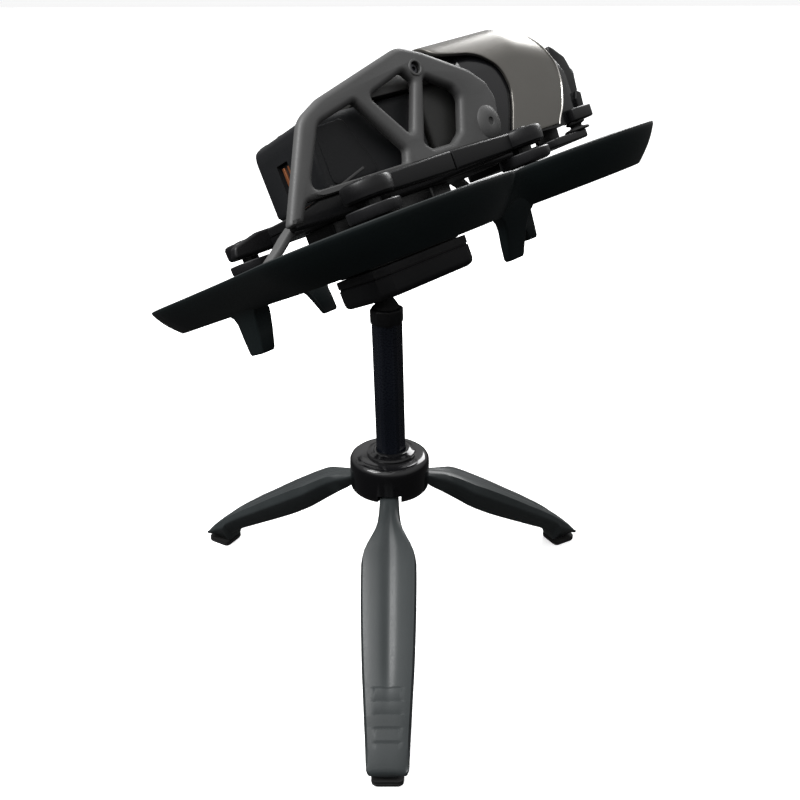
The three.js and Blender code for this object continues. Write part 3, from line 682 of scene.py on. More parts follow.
def cageFoot(side, face):
    # the soft swelling over the front arm, where the frame is screwed down
    foot = turned("foot", cage["foot"], 56, "Y")
    if side < 0:
        foot.data.transform(Matrix.Scale(-1, 4, (0, 1, 0)))
    x, z = cage["footAt"]
    foot.data.transform(Matrix.Translation((x, face, z)) @ Matrix.Scale(cage["footStretch"], 4, (0, 0, 1)))
    return foot


def socketScrew(name, at, side, radius=2.1):
    head = turned(name, [(0, -1), (radius, -1), (radius, 0), (radius * 0.9, 0.25), (0, 0.25)], 40, "Y")
    key = loft("key",
               [[Vector((radius * 0.5 * math.cos(math.pi * i / 3), depth,
                         radius * 0.5 * math.sin(math.pi * i / 3)))
                        for i in range(6)] for depth in (-0.6, 1)])
    head = carve(head, key)
    if side < 0:
        head.data.transform(Matrix.Scale(-1, 4, (0, 1, 0)))
    head.data.transform(Matrix.Translation(at))
    place(bevel(head, 0.12, 2, 40), droneSpace, "drone", steelDark)


deck = {
    "edge": 1.2,
    "grooveLow": 11.0,
    "grooveHigh": 11.6,
    "rail": [(-62, 7.6), (-50, 7.2), (66, 7.6), (71, 10.5), (69, 15.6), (50, 16.6), (-47, 16.3), (-60, 13)],
    "railInner": 25.6,
    "railOuter": 31.5,
}


def deckAndRails():
    low, high = span("mid_deck")
    wide = high.y
    outline = [(high.x, -17), (high.x, 17), (50, wide), (-40, wide), (low.x, 17), (low.x, -17),
               (-40, -wide), (50, -wide)]
    plan = plate("deck", rounded(outline, 4), low.z, high.z, (), deck["edge"], "XY")
    around = [(high.x + 1, -18), (high.x + 1, 18), (51, wide + 1), (-41, wide + 1), (low.x - 1, 18),
              (low.x - 1, -18),
              (-41, -wide - 1), (51, -wide - 1)]
    within = rounded([(x * 0.985, y * 0.975) for x, y in outline], 4)
    groove = plate("groove", rounded(around, 4), deck["grooveLow"], deck["grooveHigh"], [within], 0.05,
                   "XY")
    place(carve(plan, groove), droneSpace, "drone", frameBlack, ["mid_deck"])
    # rails along both sides, from the rear arms to the front ones
    for name, side in (("left", 1), ("right", -1)):
        inner, outer = sorted((side * deck["railInner"], side * deck["railOuter"]))
        piece = plate("rail_" + name, rounded(deck["rail"], 2.5), inner, outer, (), 1.4)
        place(piece, droneSpace, "drone", frameBlack)


belly = {
    "outline": [(34, -12), (34, 12), (13, 23.5), (-13, 23.5), (-34, 12), (-34, -12), (-13, -23.5),
                (13, -23.5)],
    "corner": 5,
    "slots": range(-12, 13, 4),
    "eyes": ((-26, -7), (-26, 7), (30, -7), (30, 7)),
}


def bellyShell():
    low, high = span("belly_shell")
    rings = []
    for z, scale in ((low.z, 0.84), (low.z + 1.2, 0.9), (low.z + 4, 0.98), (low.z + 8, 1.0), (high.z, 1.0)):
        plan = rounded(belly["outline"], belly["corner"])
        rings.append([Vector((p.x * scale, p.y * scale, z)) for p in plan])
    slots = []
    for x in belly["slots"]:
        for side in (-1, 1):
            slots.append(block("slot", (x - 0.8, side * 23 - 2.4, -6), (x + 0.8, side * 23 + 2.4, 3), 0.3))
    shell = carve(loft("belly", rings), *slots)
    place(shell, droneSpace, "drone", shellBlack, ["belly_shell"])
    rim = [(0, -0.9), (1.6, -0.8), (2.4, -0.5), (2.9, -0.5), (3.3, 0.3), (3.3, 3), (0, 3)]
    for i, (x, y) in enumerate(belly["eyes"]):
        eye = turned("vision_lens_%d" % i, [(radius, low.z + rise) for radius, rise in rim], 40,
                     at=(x * 0.86, y, 0))
        place(eye, droneSpace, "drone", shellBlack)


def archRing(x, half, low, high, corner, steps=10):
    points = [(half, low), (half, low + (high - corner - low) * 0.5)]
    for i in range(steps + 1):
        angle = i / steps * math.pi / 2
        points.append((half - corner + corner * math.cos(angle), high - corner + corner * math.sin(angle)))
    mirrored = [(-y, z) for y, z in reversed(points)]
    return [Vector((x, y, z)) for y, z in points + [(0, high + 0.5)] + mirrored]


# the lid's rows are x, height and how much narrower than the shell it is
lid = {
    "rows": [(-8.5, 50.5, 3), (-7.6, 52.6, 1), (-4, 55.4, 0), (4, 59.6, 0), (14, 62.0, 0), (54, 62.8, 0),
             (66, 60.5, 0)],
    "step": 21,
    "lowRear": 48.7,
    "lowFront": 47.5,
}


def upperShell():
    half = span("upper_shell")[1].y
    rings = []
    for x, top, less in lid["rows"]:
        low = lid["lowRear"] if x < lid["step"] else lid["lowFront"]
        rings.append(archRing(x, half - less, low, top, min(15, top - low - 0.5)))
    core = block("core", (21.6, -half + 0.4, 15.9), (66, half - 0.4, 50), 2.5, 4)
    rib = plate("rib", rounded([(26, 58), (29, 58), (29, 64.5), (26, 64.5)], 0.5), -12, 12, (), 0.3)
    seam = plate("seam", rounded([(20.2, 40), (20.9, 40), (20.9, 70), (20.2, 70)], 0.1), -40, 40, (), 0.05)
    top = carve(loft("lid", rings), seam)
    piece = bevel(merge("upper_shell_cover", [top, core, rib]), 0.4, 3, 40)
    place(piece, droneSpace, "drone", shellGrey, ["upper_shell"], 40)


battery = {
    "corner": 4.6,
    "seamAt": -32.2,
    "seamWidth": 0.5,
    "panel": [(-33.5, 20), (-33.5, 43.6), (-19, 44.4), (-9.5, 20)],
    "line": [(-35.6, 20.4), (-35.4, 18.0), (-33.6, 18.0), (-17.0, 23.0), (-17.4, 23.9), (-33.8, 19.0),
             (-34.6, 20.4)],
    "latchRibs": 3,
}


def batteryPack():
    low, high = span("battery_case")
    middle, rise, half = (low.z + high.z) / 2, (high.z - low.z) / 2, high.y
    rings = []
    for x, grow in ((low.x, -2.6), (low.x + 0.35, -1.5), (low.x + 1.0, -0.6), (low.x + 2.2, 0),
                    (low.x + 6, 0), (high.x - 1, 0), (high.x, -0.8)):
        section = ellipseBox(half + grow, rise + grow, battery["corner"], 8)
        rings.append([Vector((x, y, middle + z)) for y, z in section])
    case = loft("case", rings)
    contacts = span("battery_contacts")
    slot = block("slot", (low.x - 1, contacts[0].y - 0.5, contacts[0].z - 0.6),
                 (contacts[1].x + 0.3, contacts[1].y + 0.5, contacts[1].z + 0.6), 0.5)
    latches = []
    for name in ("left", "right"):
        a, b = span("battery_latch_" + name)
        latches.append(block("pocket", (a.x - 0.4, a.y - 0.4, a.z - 1.4), (b.x + 0.4, b.y + 0.4, b.z + 2),
                             0.6))
    a, b = span("power_button")
    well = turned("well", [(0, b.z - 3.4), (5, b.z - 3.4), (5, b.z + 2), (0, b.z + 2)], 48,
                  at=((a.x + b.x) / 2, (a.y + b.y) / 2, 0))
    outer = [(y, middle + z) for y, z in ellipseBox(half + 1, rise + 1, 5, 8)]
    inner = [(y, middle + z) for y, z in ellipseBox(half - 0.35, rise - 0.35, 4.4, 8)]
    start = battery["seamAt"]
    seam = plate("groove", outer, start, start + battery["seamWidth"], [inner], 0.02, "YZ")
    case = carve(case, slot, *latches, well, seam)
    place(bevel(case, 0.3, 2, 40), droneSpace, "battery", batteryGrey, ["battery_case"])
    batterySides(half)
    latchPads()
    powerButton()
    barsAndBacking()


def batterySides(half):
    # raised panel on each side, with a moulded line along its lower edge
    for name, side in (("left", 1), ("right", -1)):
        a, b = sorted((side * (half - 0.6), side * (half + 0.45)))
        panel = plate("battery_panel_" + name, rounded(battery["panel"], 3), a, b, (), 0.35)
        place(panel, droneSpace, "battery", batteryGrey)
        a, b = sorted((side * (half - 0.4), side * (half + 0.7)))
        line = plate("battery_line_" + name, rounded(battery["line"], 0.3), a, b, (), 0.2)
        place(line, droneSpace, "battery", frameGrey)


def latchPads():
    count = battery["latchRibs"]
    for name in ("left", "right"):
        a, b = span("battery_latch_" + name)
        pad = block("latch", tuple(a), tuple(b), 0.6)
        cuts = []
        for i in range(count):
            x = a.x + (b.x - a.x) * (i + 1) / (count + 1)
            cuts.append(block("rib", (x - 0.35, a.y + 1.2, b.z - 0.35), (x + 0.35, b.y - 1.2, b.z + 0.6),
                              0))
        pad = carve(pad, *cuts)
        place(pad, droneSpace, "latch_" + name, batteryGrey, ["battery_latch_" + name])


def powerButton():
    a, b = span("power_button")
    profile = [(0, a.z), (4.5, a.z), (4.6, b.z - 0.6), (4.3, b.z - 0.15), (3.7, b.z), (2.9, b.z - 0.12),
               (0, b.z - 0.3)]
    button = turned("button", profile, 48, at=((a.x + b.x) / 2, (a.y + b.y) / 2, 0))
    place(button, droneSpace, "power_button", batteryGrey, ["power_button"])


def barsAndBacking():
    low, high = span("battery_contacts")
    backing = block("backing", (high.x - 0.9, low.y, low.z), (high.x, high.y, high.z), 0.15)
    bars = []
    for y in ((low.y * 0.78 + high.y * 0.22), (low.y * 0.24 + high.y * 0.76)):
        bars.append(block("bar", (low.x + 0.3, y - 0.95, low.z + 1), (high.x, y + 0.95, high.z - 1), 0.3))
    place(backing, droneSpace, "battery", cameraBlack)
    place(merge("battery_contact_bars", bars), droneSpace, "battery", copperBare,
          ["battery_contacts"])


# the rear and front lines are the share of the way round, and how far forward the edge is there
hood = {
    "half": 32,
    "top": 66.4,
    "corner": 17,
    "wall": 1.6,
    "rimRadius": 0.42,
    "rear": [(0, 61), (0.118, 68.2), (0.164, 68.6), (0.21, 65.6), (0.253, 58), (0.271, 52), (0.285, 42),
             (0.30, 36),
             (0.33, 34.4), (0.5, 34)],
    "front": [(0, 92.4), (0.054, 97.8), (0.1, 101), (0.135, 102.6), (0.19, 102.6), (0.23, 99.8),
              (0.296, 96),
              (0.4, 94), (0.5, 93.5)],
}


def hoodPoint(share, x):
    # share runs from the foot of one side (0) over the top (0.5) to the foot of the other (1)
    side = 1 if share <= 0.5 else -1
    s = share if share <= 0.5 else 1 - share
    fall = max(0, x - 78) * 0.3
    top = hood["top"] + 0.03 * (min(x, 78) - 34) - 0.8 - fall
    half = hood["half"] - max(0, x - 98) * 0.12
    low, corner = 15.0, hood["corner"]
    straight = top - corner - low
    arc = corner * math.pi / 2
    flat = half - corner
    total = straight + arc + flat
    run = s * 2 * total
    if run <= straight:
        y, z = half, low + run
    elif run <= straight + arc:
        angle = (run - straight) / corner
        y, z = half - corner + corner * math.cos(angle), top - corner + corner * math.sin(angle)
    else:
        past = run - straight - arc
        y, z = half - corner - past, top + 0.8 * math.sin(past / flat * math.pi / 2)
    return Vector((x, side * y, z))


def smoothAlong(table, s):
    # reads a table of (position, value) with an easing curve through its neighbours
    spots = [row[0] for row in table]
    i = max(0, min(len(table) - 2, sum(1 for spot in spots if spot <= s) - 1))
    before, low = table[max(i - 1, 0)], table[i]
    high, after = table[i + 1], table[min(i + 2, len(table) - 1)]
    t = (s - low[0]) / (high[0] - low[0])
    a, b, c, d = before[1], low[1], high[1], after[1]
    square, cube = 2 * a - 5 * b + 4 * c - d, 3 * b - a - 3 * c + d
    return 0.5 * ((2 * b) + (c - a) * t + square * t * t + cube * t ** 3)


def cameraHood():
    rows = []
    across, lengthwise = 110, 18
    for k in range(across + 1):
        share = k / across
        s = min(share, 1 - share)
        start, stop = smoothAlong(hood["rear"], s), smoothAlong(hood["front"], s)
        rows.append([hoodPoint(share, start + (stop - start) * i / lengthwise)
                     for i in range(lengthwise + 1)])
    skin = sheet("hood", rows)
    finishMesh(skin.data)
    skin = bevel(thicken(skin, hood["wall"]), 0.45, 3, 50)
    place(skin, droneSpace, "drone", hoodMetal, ["camera_hood"], 50)
    # rolled rim along the front edge; its bright metal is a painted highlight for the light line along the
    # hood's edge
    rim = []
    thick = hood["rimRadius"]
    for k in range(across + 1):
        share = k / across
        s = min(share, 1 - share)
        stop = smoothAlong(hood["front"], s)
        centre = hoodPoint(share, stop - 0.3)
        near = hoodPoint(share, stop - 3)
        outward = Vector((0, centre.y, centre.z - 40)).normalized()
        forward = (centre - near).normalized()
        ring = []
        for i in range(8):
            angle = 2 * math.pi * i / 8
            ring.append(centre + outward * (thick * math.cos(angle)) + forward * (thick * math.sin(angle)))
        rim.append(ring)
    place(loft("hood_rim", rim), droneSpace, "drone", rimPaintedHighlight)


# the nose's rows are x, half width, top, corner radius and foot
nose = {
    "rows": [(45, 27, 60, 14, 16), (47, 29.4, 61.6, 15, 16), (52, 30.0, 62.6, 16, 16),
             (66, 30.2, 63.4, 16, 15),
             (80, 30.2, 63.8, 16, 14.4), (90, 30.1, 61.2, 16, 14.0), (98, 30.0, 58.8, 16, 14.0),
             (106, 29.4, 54.6, 16, 14.4), (111, 28.4, 50.4, 15, 16), (114, 27.0, 48.0, 14, 18),
             (115.4, 25.4, 44.6, 13, 20)],
    "reach": 19.2,
    "pillar": [(104, 22), (112.4, 20.4), (115.4, 28), (116.4, 35.2), (113.4, 44.6), (104, 53)],
    "eye": [(0, 0), (3.6, 0), (3.9, 0.5), (3.9, 1.6), (3.5, 2.0), (2.9, 1.9), (2.7, 1.5), (1.5, 1.9),
            (0, 2.1)],
}


def noseShell():
    # a glossy shell from between the cages to the front bezel, round the camera's opening
    shell = loft("nose",
                 [archRing(x, half, low, top, corner, 12) for x, half, top, corner, low in nose["rows"]])
    low, high = span("camera_body")
    top = (low.z + high.z) / 2 + nose["reach"]
    opening = plate("opening", rounded([(79.6, 4), (132, 4), (132, top), (79.6, top)], 4), -19.3, 19.3, (),
                    2.0)
    shell = bevel(carve(shell, opening), 0.7, 4, 44)
    place(shell, droneSpace, "drone", shellBlack, ["nose_shell"], 44)
    # front faces of both side pillars, with a vision lens in each
    for side in (1, -1):
        inner, outer = sorted((side * 20.6, side * 28.6))
        pillar = plate("pillar", rounded(nose["pillar"], 2.4), inner, outer, (), 1.2)
        place(pillar, droneSpace, "drone", satinBlack)
        eye = turned("eye", nose["eye"], 40, "X", (114.6, side * 24.4, 36))
        place(eye, droneSpace, "drone", lensMaterial)


# the camera's body rows are the distance ahead of its axle and half its size there
cameraShape = {
    "at": (99, 35),
    "body": [(-11, 12), (-10.4, 13.6), (-9, 15.2), (-7, 15.6), (7, 15.6), (9.6, 15.0), (11, 13.6)],
    "barrel": [(0, 5.5), (9.9, 5.5), (9.9, 11.4), (9.5, 11.6), (9.5, 12.0), (9.9, 12.2), (9.9, 13.8),
               (9.4, 14.4),
               (8.6, 14.7), (7.8, 14.5), (7.2, 13.8), (6.9, 12.6), (0, 12.6)],
    "glass": [(0, 12.9), (6.4, 12.9), (6.5, 13.2), (5.6, 14.0), (4.2, 14.7), (2.4, 15.2), (0, 15.4)],
}
mount = {
    "plate": [(81, -27), (85, -33), (107, -33), (111, -29), (111, 29), (107, 33), (85, 33), (81, 27)],
    "window": [(88, -13), (104, -13), (104, 13), (88, 13)],
    "post": [(88, 8), (104, 8), (105, 24), (106, 38), (99, 42), (92, 38), (91, 24)],
    "damper": [(0, 9.3), (5.6, 9.3), (6.2, 9.8), (5.6, 10.5), (3.2, 11.0), (2.6, 11.6), (3.0, 12.2),
               (4.4, 12.7),
               (4.6, 13.3), (3.8, 13.8), (0, 13.8)],
    "damperAt": (105.5, 29),
    "peg": [(110.6, 19), (114.4, 19), (115.2, 26.4), (112.4, 27.6), (110.4, 24)],
}


def noseMount():
    # bottom plate on rubber dampers, with the posts that carry the camera's axle
    parts = [plate("base", rounded(mount["plate"], 2), 5.4, 9.2, [rounded(mount["window"], 3)], 0.7, "XY")]
    x, z = cameraShape["at"]
    for side in (-1, 1):
        inner, outer = sorted((side * 16.3, side * 18.7))
        parts.append(plate("post", rounded(mount["post"], 3), inner, outer, (), 0.6))
        parts.append(turned("axle", [(0, -1.6), (1.7, -1.6), (1.7, 1.6), (0, 1.6)], 24, "Y",
                            (x, side * 15.4, z)))
    place(merge("gimbal_mount", parts), droneSpace, "drone", satinBlack, ["gimbal_plate"])
    along, out = mount["damperAt"]
    for name, side in (("left", 1), ("right", -1)):
        y = side * out
        bead = turned("damper", mount["damper"], 40, at=(along, y, 0))
        place(bead, droneSpace, "drone", rubberBlack, ["damper_" + name])
        edge = 2.6 if side > 0 else 4.6
        stack = block("bracket", (101.5, y - 4.6, 13.8), (114.8, y + edge, 19.8), 0.9)
        inner, outer = sorted((side * 25, side * 30))
        peg = plate("peg", rounded(mount["peg"], 0.9), inner, outer, (), 0.6)
        place(merge("damper_bracket_" + name, [stack, peg]), droneSpace, "drone", satinBlack)


def cameraHead():
    x, z = cameraShape["at"]
    centre = (x, 0, z)
    rings = []
    for ahead, half in cameraShape["body"]:
        rings.append([Vector((x + ahead, y, z + rise)) for y, rise in ellipseBox(half, half, 6, 8)])
    seat = turned("seat", [(0, 5), (10.3, 5), (10.3, 20), (0, 20)], 64, "X", centre)
    bore = turned("bore", [(0, -20), (2.1, -20), (2.1, 20), (0, 20)], 32, "Y", centre)
    body = bevel(carve(loft("body", rings), seat, bore), 0.4, 3, 40)
    place(body, droneSpace, "camera", cameraBlack, ["camera_body"])
    barrel = turned("barrel", cameraShape["barrel"], 72, "X", centre)
    place(barrel, droneSpace, "camera", shellBlack, ["lens_barrel"], 40)
    glass = turned("glass", cameraShape["glass"], 64, "X", centre)
    place(glass, droneSpace, "camera", lensMaterial, ["lens_glass"], 60)


cradle = {
    "cutAlong": 6,
    "cutAcross": 5,
    "corner": 1.6,
    "ball": 7.0,
    "mouthDegrees": 60,
    "clamp": [(0, -1), (3.6, -1), (3.6, 1.4), (3.2, 1.9), (0, 1.9)],
}


def cradleParts():
    low, high = span("cradle_block")
    cx, halfLong, halfWide = (low.x + high.x) / 2, (high.x - low.x) / 2, high.y
    x, y = halfLong - cradle["cutAlong"], halfWide - cradle["cutAcross"]
    outline = [(halfLong, -y), (halfLong, y), (x, halfWide), (-x, halfWide), (-halfLong, y),
               (-halfLong, -y),
               (-x, -halfWide), (x, -halfWide)]
    rings = []
    for z, inset in ((low.z, 1.8), (low.z + 0.5, 0.9), (low.z + 1.4, 0.3), (low.z + 3, 0),
                     (high.z - 4.4, 0), (high.z - 4.2, 0.5),
                     (high.z - 3.6, 0.5), (high.z - 3.4, 0), (high.z, 0)):
        rings.append([Vector((cx + p.x * (1 - inset / halfLong), p.y * (1 - inset / halfWide), z))
                      for p in rounded(outline, cradle["corner"], 4)])
    centre = droneSpace.inverted() @ jointPoint("head_tilt")
    ball = []
    for i in range(13):
        angle = math.pi * i / 12
        ball.append((cradle["ball"] * math.sin(angle), -cradle["ball"] * math.cos(angle)))
    socket = turned("socket", ball, 40, at=tuple(centre))
    depth = centre.z - low.z + 1
    spread = depth * math.tan(math.radians(cradle["mouthDegrees"]))
    mouth = turned("mouth", [(0, -depth), (spread, -depth), (0.01, 0)], 48, at=tuple(centre))
    body = bevel(carve(loft("cradle", rings), socket, mouth), 0.3, 2, 40)
    place(body, droneSpace, "drone", cradleBlack, ["cradle_block"])
    # clamp screw on the side of the block
    knob = turned("clamp_screw", cradle["clamp"], 40, "Y", (cx + 8, halfWide + 0.2, -24))
    place(knob, droneSpace, "drone", cradleBlack)


legFacing = {"front": -90, "right": 30, "left": 150}
toSide = Matrix.Rotation(math.radians(90), 4, "Z")  # the front leg's pin, turned round to the +X side
legPivot = (toSide @ standSpace.inverted()) @ jointPoint("leg_fold_front")
# distance from the tripod's axis, underside, top face, half width
legSide = [(9.8, 72.2, 77.0, 4.3), (13.4, 70.7, 77.3, 4.4), (15.4, 69.3, 76.3, 4.4),
           (16.8, 67.9, 73.4, 4.5),
           (19, 66.0, 72.9, 4.6), (24, 61.7, 71.3, 4.9), (29, 58.0, 69.9, 5.5), (34, 54.1, 68.1, 7.0),
           (38, 51.0, 66.2, 9.0),
           (41, 48.6, 64.6, 10.7), (44, 46.3, 62.8, 12.1), (46.5, 44.5, 61.4, 12.5), (52, 40.7, 58.1, 12.5),
           (58, 36.8, 54.2, 12.4), (65, 32.6, 49.6, 12.2), (72, 28.5, 44.8, 11.9), (80, 23.9, 39.2, 11.5),
           (88, 19.2, 33.8, 11.0), (94, 15.8, 29.4, 10.5), (99, 12.4, 25.8, 10.1), (103, 9.0, 22.7, 9.8),
           (105, 3.8, 21.0, 9.6),
           (106, 3.5, 20.0, 9.5), (110, 3.5, 16.6, 9.2), (113, 3.5, 14.0, 9.0), (116, 3.7, 11.0, 8.8),
           (117.6, 4.1, 9.2, 8.6),
           (118.4, 4.8, 8.2, 8.2), (118.7, 5.6, 7.2, 7.6)]
ribs = {"first": 94.4, "step": 4.1, "count": 5, "depth": 0.4, "width": 0.42}
crease = {"depth": 1.3, "start": 22, "end": 104, "spread": 0.2}
footPad = {
    "at": 112.3,
    "halfLong": 6.9,
    "halfWide": 6.6,
    "corner": 2.6,
    "rows": [(0, -0.7), (0.2, -0.3), (0.8, 0), (1.5, 0.1), (1.7, -0.25), (2.1, -0.25), (2.3, 0.05),
             (3.15, 0)],
}


def legRows():
    # adds close rows at the grip ribs
    spots = [row[0] for row in legSide]
    for i in range(ribs["count"]):
        at = ribs["first"] + i * ribs["step"]
        spots += [at - ribs["width"], at - ribs["width"] * 0.3, at + ribs["width"] * 0.3,
                  at + ribs["width"]]
    return sorted(spots)


def ribDepth(r):
    for i in range(ribs["count"]):
        away = abs(r - ribs["first"] - i * ribs["step"])
        if away < ribs["width"] * 0.6:
            return ribs["depth"]
    return 0


def tripodLeg(name, degrees):
    rings = []
    for r in legRows():
        low, high, half = along(legSide, r)
        tall = high - low
        edge = high - tall * 0.34
        deep = crease["depth"] * ease((r - crease["start"]) / 20) * ease((crease["end"] - r) / 22)
        groove = ribDepth(r)
        under = half * 0.5
        outline = [(-under, low + 0.4), (-under + 0.8, low), (under - 0.8, low), (under, low + 0.4),
                   (half - 0.3, edge - 0.9), (half, edge), (half - 0.15, edge + 0.9)]
        top = []
        for k in range(21):
            t = 1 - 2 * k / 20
            y = t * (half - 1.0)
            crown = high - 0.9 * abs(t) ** 3.5 - deep * math.exp(-(t / crease["spread"]) ** 2) - 0.25
            sunk = groove if abs(t) < 0.65 else 0
            top.append((y, crown - sunk))
        left = [(-half + 0.15, edge + 0.9), (-half, edge), (-half + 0.3, edge - 0.9)]
        rings.append([Vector((r, y, z)) for y, z in outline + top + left])
    leg = loft("leg", rings)
    leg = carve(leg, turned("hole", [(0, -9), (1.8, -9), (1.8, 9), (0, 9)], 32, "Y", tuple(legPivot)))
    leg.data.transform(Matrix.Rotation(math.radians(degrees), 4, "Z"))
    place(leg, standSpace, "leg_" + name, legPlastic, ["leg_" + name], 38)
    rings = []
    for z, grow in footPad["rows"]:
        plan = ellipseBox(footPad["halfLong"] + grow, footPad["halfWide"] + grow, footPad["corner"], 6)
        rings.append([Vector((footPad["at"] + x, y, z)) for x, y in plan])
    pad = loft("pad", rings)
    pad.data.transform(Matrix.Rotation(math.radians(degrees), 4, "Z"))
    place(pad, standSpace, "leg_" + name, rubberBlack, ["foot_pad_" + name])


hub = {"pocketHalf": 5.6, "notchTop": 73.8, "pinHole": 1.85, "pinReach": 11}


def tripodHub():
    low, high = span("tripod_hub", standSpace)
    profile = [(0, low.z), (17.2, low.z), (18.2, low.z + 0.3), (18.9, low.z + 1.2), (19.2, low.z + 3),
               (19.2, high.z - 4.6), (19.1, high.z - 2.6), (18.5, high.z - 1.4), (17.4, high.z - 0.5),
               (16.2, high.z - 0.1),
               (12.4, high.z), (0, high.z)]
    body = turned("hub", profile, 96)
    cutters = []
    half, reach, pin = hub["pocketHalf"], hub["pinReach"], hub["pinHole"]
    for degrees in legFacing.values():
        pocket = block("pocket", (8, -half, 60), (17, half, legPivot.z + 5.3), 0)
        notch = block("notch", (16, -half, 60), (30, half, hub["notchTop"]), 0)
        hole = turned("hole", [(0, -reach), (pin, -reach), (pin, reach), (0, reach)], 32, "Y",
                      tuple(legPivot))
        for cutter in (pocket, notch, hole):
            cutter.data.transform(Matrix.Rotation(math.radians(degrees), 4, "Z"))
            cutters.append(cutter)
    body = carve(body, *cutters)
    place(bevel(body, 0.4, 3, 45), standSpace, "stand", hubGloss, ["tripod_hub"], 45)


def poleMatrix():
    # along the pole's own axis, which leans a little; z is the height over the table
    axis = Vector(joints["head_turn"]["axis"]).normalized()
    ball = standSpace.inverted() @ jointPoint("head_turn")
    lean = Vector((0, 0, 1)).rotation_difference(axis).to_matrix().to_4x4()
    foot = ball - axis * (ball.z / axis.z)
    return standSpace @ Matrix.Translation(foot) @ lean


# the rod's rows are the height and how much thinner it is there
pole = {
    "round": 7.0,
    "flat": 6.45,
    "turn": 2.5,
    "rows": [(87.6, 0), (88, 0), (159.4, 0), (160.2, 0.5), (161.4, 1.6), (162.6, 3.2), (163, 3.9)],
    "ring": [(7.3, 87.6), (11.6, 87.6), (11.8, 88.2), (11.4, 89.0), (10.2, 89.6), (9.2, 90.2), (8.0, 90.4),
             (7.3, 90.2)],
    "nut": [(153.8, 7.2), (154.6, 7.7), (160.6, 7.7), (161.4, 6.8)],
    "boot": [(0, 160.8), (6.0, 160.8), (6.0, 161.4), (5.2, 162.8), (4.2, 164.4), (3.3, 165.6), (0, 165.8)],
}


def tripodPole():
    space = poleMatrix()
    # a round rod with six long flats
    rings = []
    for z, inset in pole["rows"]:
        ring = []
        for i in range(72):
            angle = 2 * math.pi * i / 72 + math.radians(pole["turn"])
            toFlat = max(0.001, math.cos((angle % (math.pi / 3)) - math.pi / 6))
            radius = min(pole["round"] - inset, (pole["flat"] - inset) / toFlat)
            ring.append(Vector((radius * math.cos(angle), radius * math.sin(angle), z)))
        rings.append(ring)
    rod = bevel(loft("pole_rod", rings), 0.2, 2, 40)
    place(rod, space, "stand", poleBlack, ["pole"], 14)
    collar = []
    for i in range(72):
        angle = 2 * math.pi * i / 72
        collar.append([Vector((r * math.cos(angle), r * math.sin(angle), z)) for r, z in pole["ring"]])
    place(loft("pole_ring", collar, loop=True), space, "stand", hubGloss, ["pole_collar"])
    # a faceted clamp ring at the top of the pole, and the boot over the ball's neck
    nut = []
    for z, radius in pole["nut"]:
        angles = [math.pi * i / 4 + 0.2 for i in range(8)]
        nut.append([Vector((radius * math.cos(angle), radius * math.sin(angle), z)) for angle in angles])
    place(bevel(loft("pole_nut", nut), 0.3, 2, 25), space, "stand", cradleBlack)
    place(turned("neck_boot", pole["boot"], 48), space, "stand", rubberBlack)


def keptNodes():
    # these keep their own shape and only get a finish
    kept = {"leg_pin_front": steelDark, "leg_pin_right": steelDark, "leg_pin_left": steelDark,
            "head_ball": steelDark,
            "ball_liner": rubberBlack, "cradle_pad": rubberBlack, "circuit_board": boardGreen}
    for name in corners:
        kept["motor_stator_" + name] = rotorBlack
    for name, material in kept.items():
        mesh = frame["nodes"][name].data
        mesh.materials.clear()
        mesh.materials.append(material)


view = {"lens": 38.25, "at": (0.0057, -0.3617, 0.2838), "pitch": 24.97, "yaw": 0.09, "roll": -0.14}
# a lamp is its place, its size and its power
room = {
    "floorSize": 200,
    "floorTone": 0.93,
    "floorGlow": 0.45,
    "sky": 0.95,
    "skyUnder": 0.05,
    "sun": 1.3,
    "sunWidth": 70,
    "sunFrom": (-0.5, -0.45, 1.0),
    "lamps": {"key": ((-0.45, -0.25, 0.75), 0.35, 7), "back": ((0.35, 0.6, 0.6), 0.4, 6)},
    "lampsFace": (0, 0, 0.18),
}


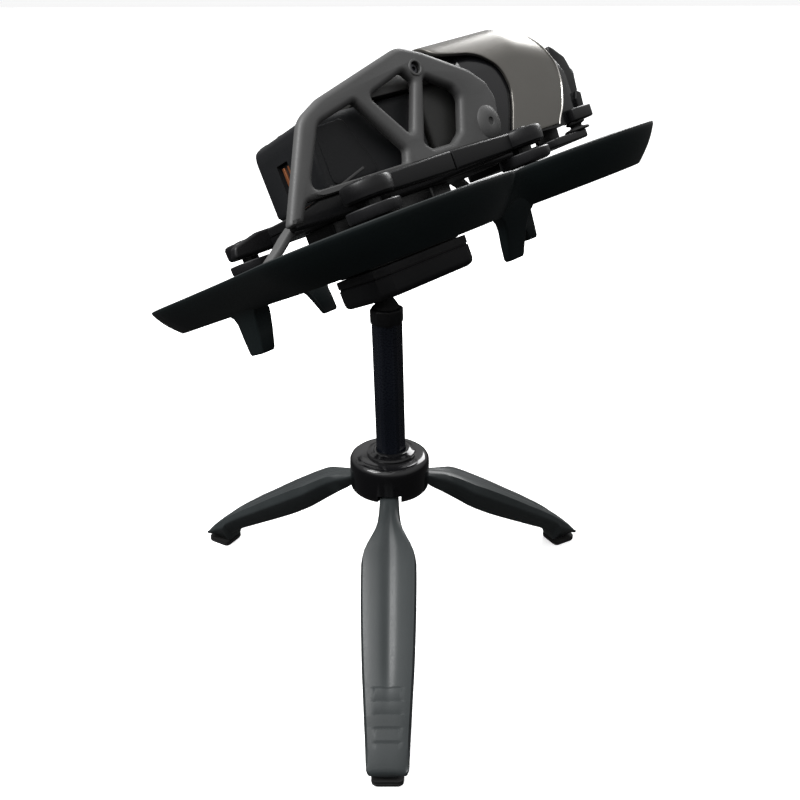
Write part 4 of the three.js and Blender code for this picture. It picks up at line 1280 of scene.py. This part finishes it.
def stageAndLight():
    half = room["floorSize"] / 2
    corner = [(-half, -half, 0), (half, -half, 0), (half, half, 0), (-half, half, 0)]
    wall = [(-half, half, half), (half, half, half)]
    floor = newPiece("floor", newMesh("floor", corner + wall, [(0, 1, 2, 3), (3, 2, 5, 4)]))
    material = bpy.data.materials.new("floor_pale")
    material.use_nodes = True
    shader = material.node_tree.nodes["Principled BSDF"]
    shader.inputs["Base Color"].default_value = (room["floorTone"],) * 3 + (1,)
    shader.inputs["Roughness"].default_value = 0.9
    shader.inputs["Specular IOR Level"].default_value = 0.1
    shader.inputs["Emission Color"].default_value = (1, 1, 1, 1)
    shader.inputs["Emission Strength"].default_value = room["floorGlow"]
    floor.data.materials.append(material)
    floor.visible_glossy = False  # the undersides stay dark, as over a black table
    floor.visible_diffuse = False
    scene = bpy.context.scene
    scene.view_settings.view_transform = "Standard"
    scene.world = bpy.data.worlds.new("sky")
    scene.world.use_nodes = True
    # white overhead, nearly black below
    nodes = scene.world.node_tree.nodes
    link = scene.world.node_tree.links.new
    nodes["Background"].inputs["Color"].default_value = (1, 1, 1, 1)
    way = nodes.new("ShaderNodeTexCoord")
    split = nodes.new("ShaderNodeSeparateXYZ")
    rise = nodes.new("ShaderNodeMapRange")
    rise.inputs["From Min"].default_value = -0.1
    rise.inputs["From Max"].default_value = 0.6
    rise.inputs["To Min"].default_value = room["skyUnder"]
    rise.inputs["To Max"].default_value = room["sky"]
    link(way.outputs["Generated"], split.inputs["Vector"])
    link(split.outputs["Z"], rise.inputs["Value"])
    link(rise.outputs["Result"], nodes["Background"].inputs["Strength"])
    sun = bpy.data.lights.new("sun", "SUN")
    sun.energy = room["sun"]
    sun.angle = math.radians(room["sunWidth"])
    newPiece("sun", sun).rotation_euler = (-Vector(room["sunFrom"])).to_track_quat("-Z", "Y").to_euler()
    for name, (at, size, power) in room["lamps"].items():
        light = bpy.data.lights.new(name, "AREA")
        light.size = size
        light.energy = power
        lamp = newPiece(name, light)
        lamp.location = at
        lamp.rotation_euler = (Vector(room["lampsFace"]) - Vector(at)).to_track_quat("-Z", "Y").to_euler()


def camera():
    data = bpy.data.cameras.new("camera")
    data.lens = view["lens"]
    data.sensor_width = 36
    data.clip_end = 1000
    eye = newPiece("camera", data)
    eye.location = standSpace.to_translation() + Vector(view["at"])
    pitch = Matrix.Rotation(math.radians(90 - view["pitch"]), 4, "X")
    turn = Matrix.Rotation(math.radians(view["yaw"]), 4, "Z") @ pitch
    eye.rotation_euler = (turn @ Matrix.Rotation(math.radians(view["roll"]), 4, "Z")).to_euler()
    bpy.context.scene.camera = eye


steps = [camera, stageAndLight, ringGuard, motorArms, rotorBells, sideCages, deckAndRails, bellyShell,
         upperShell, batteryPack, cameraHood,
         noseShell, noseMount, cameraHead, cradleParts, tripodHub, tripodPole, keptNodes]
for step in steps:
    step()
    print("made:", step.__name__)
for name, degrees in legFacing.items():
    tripodLeg(name, degrees)
    print("made: leg", name)

bpy.context.view_layer.update()
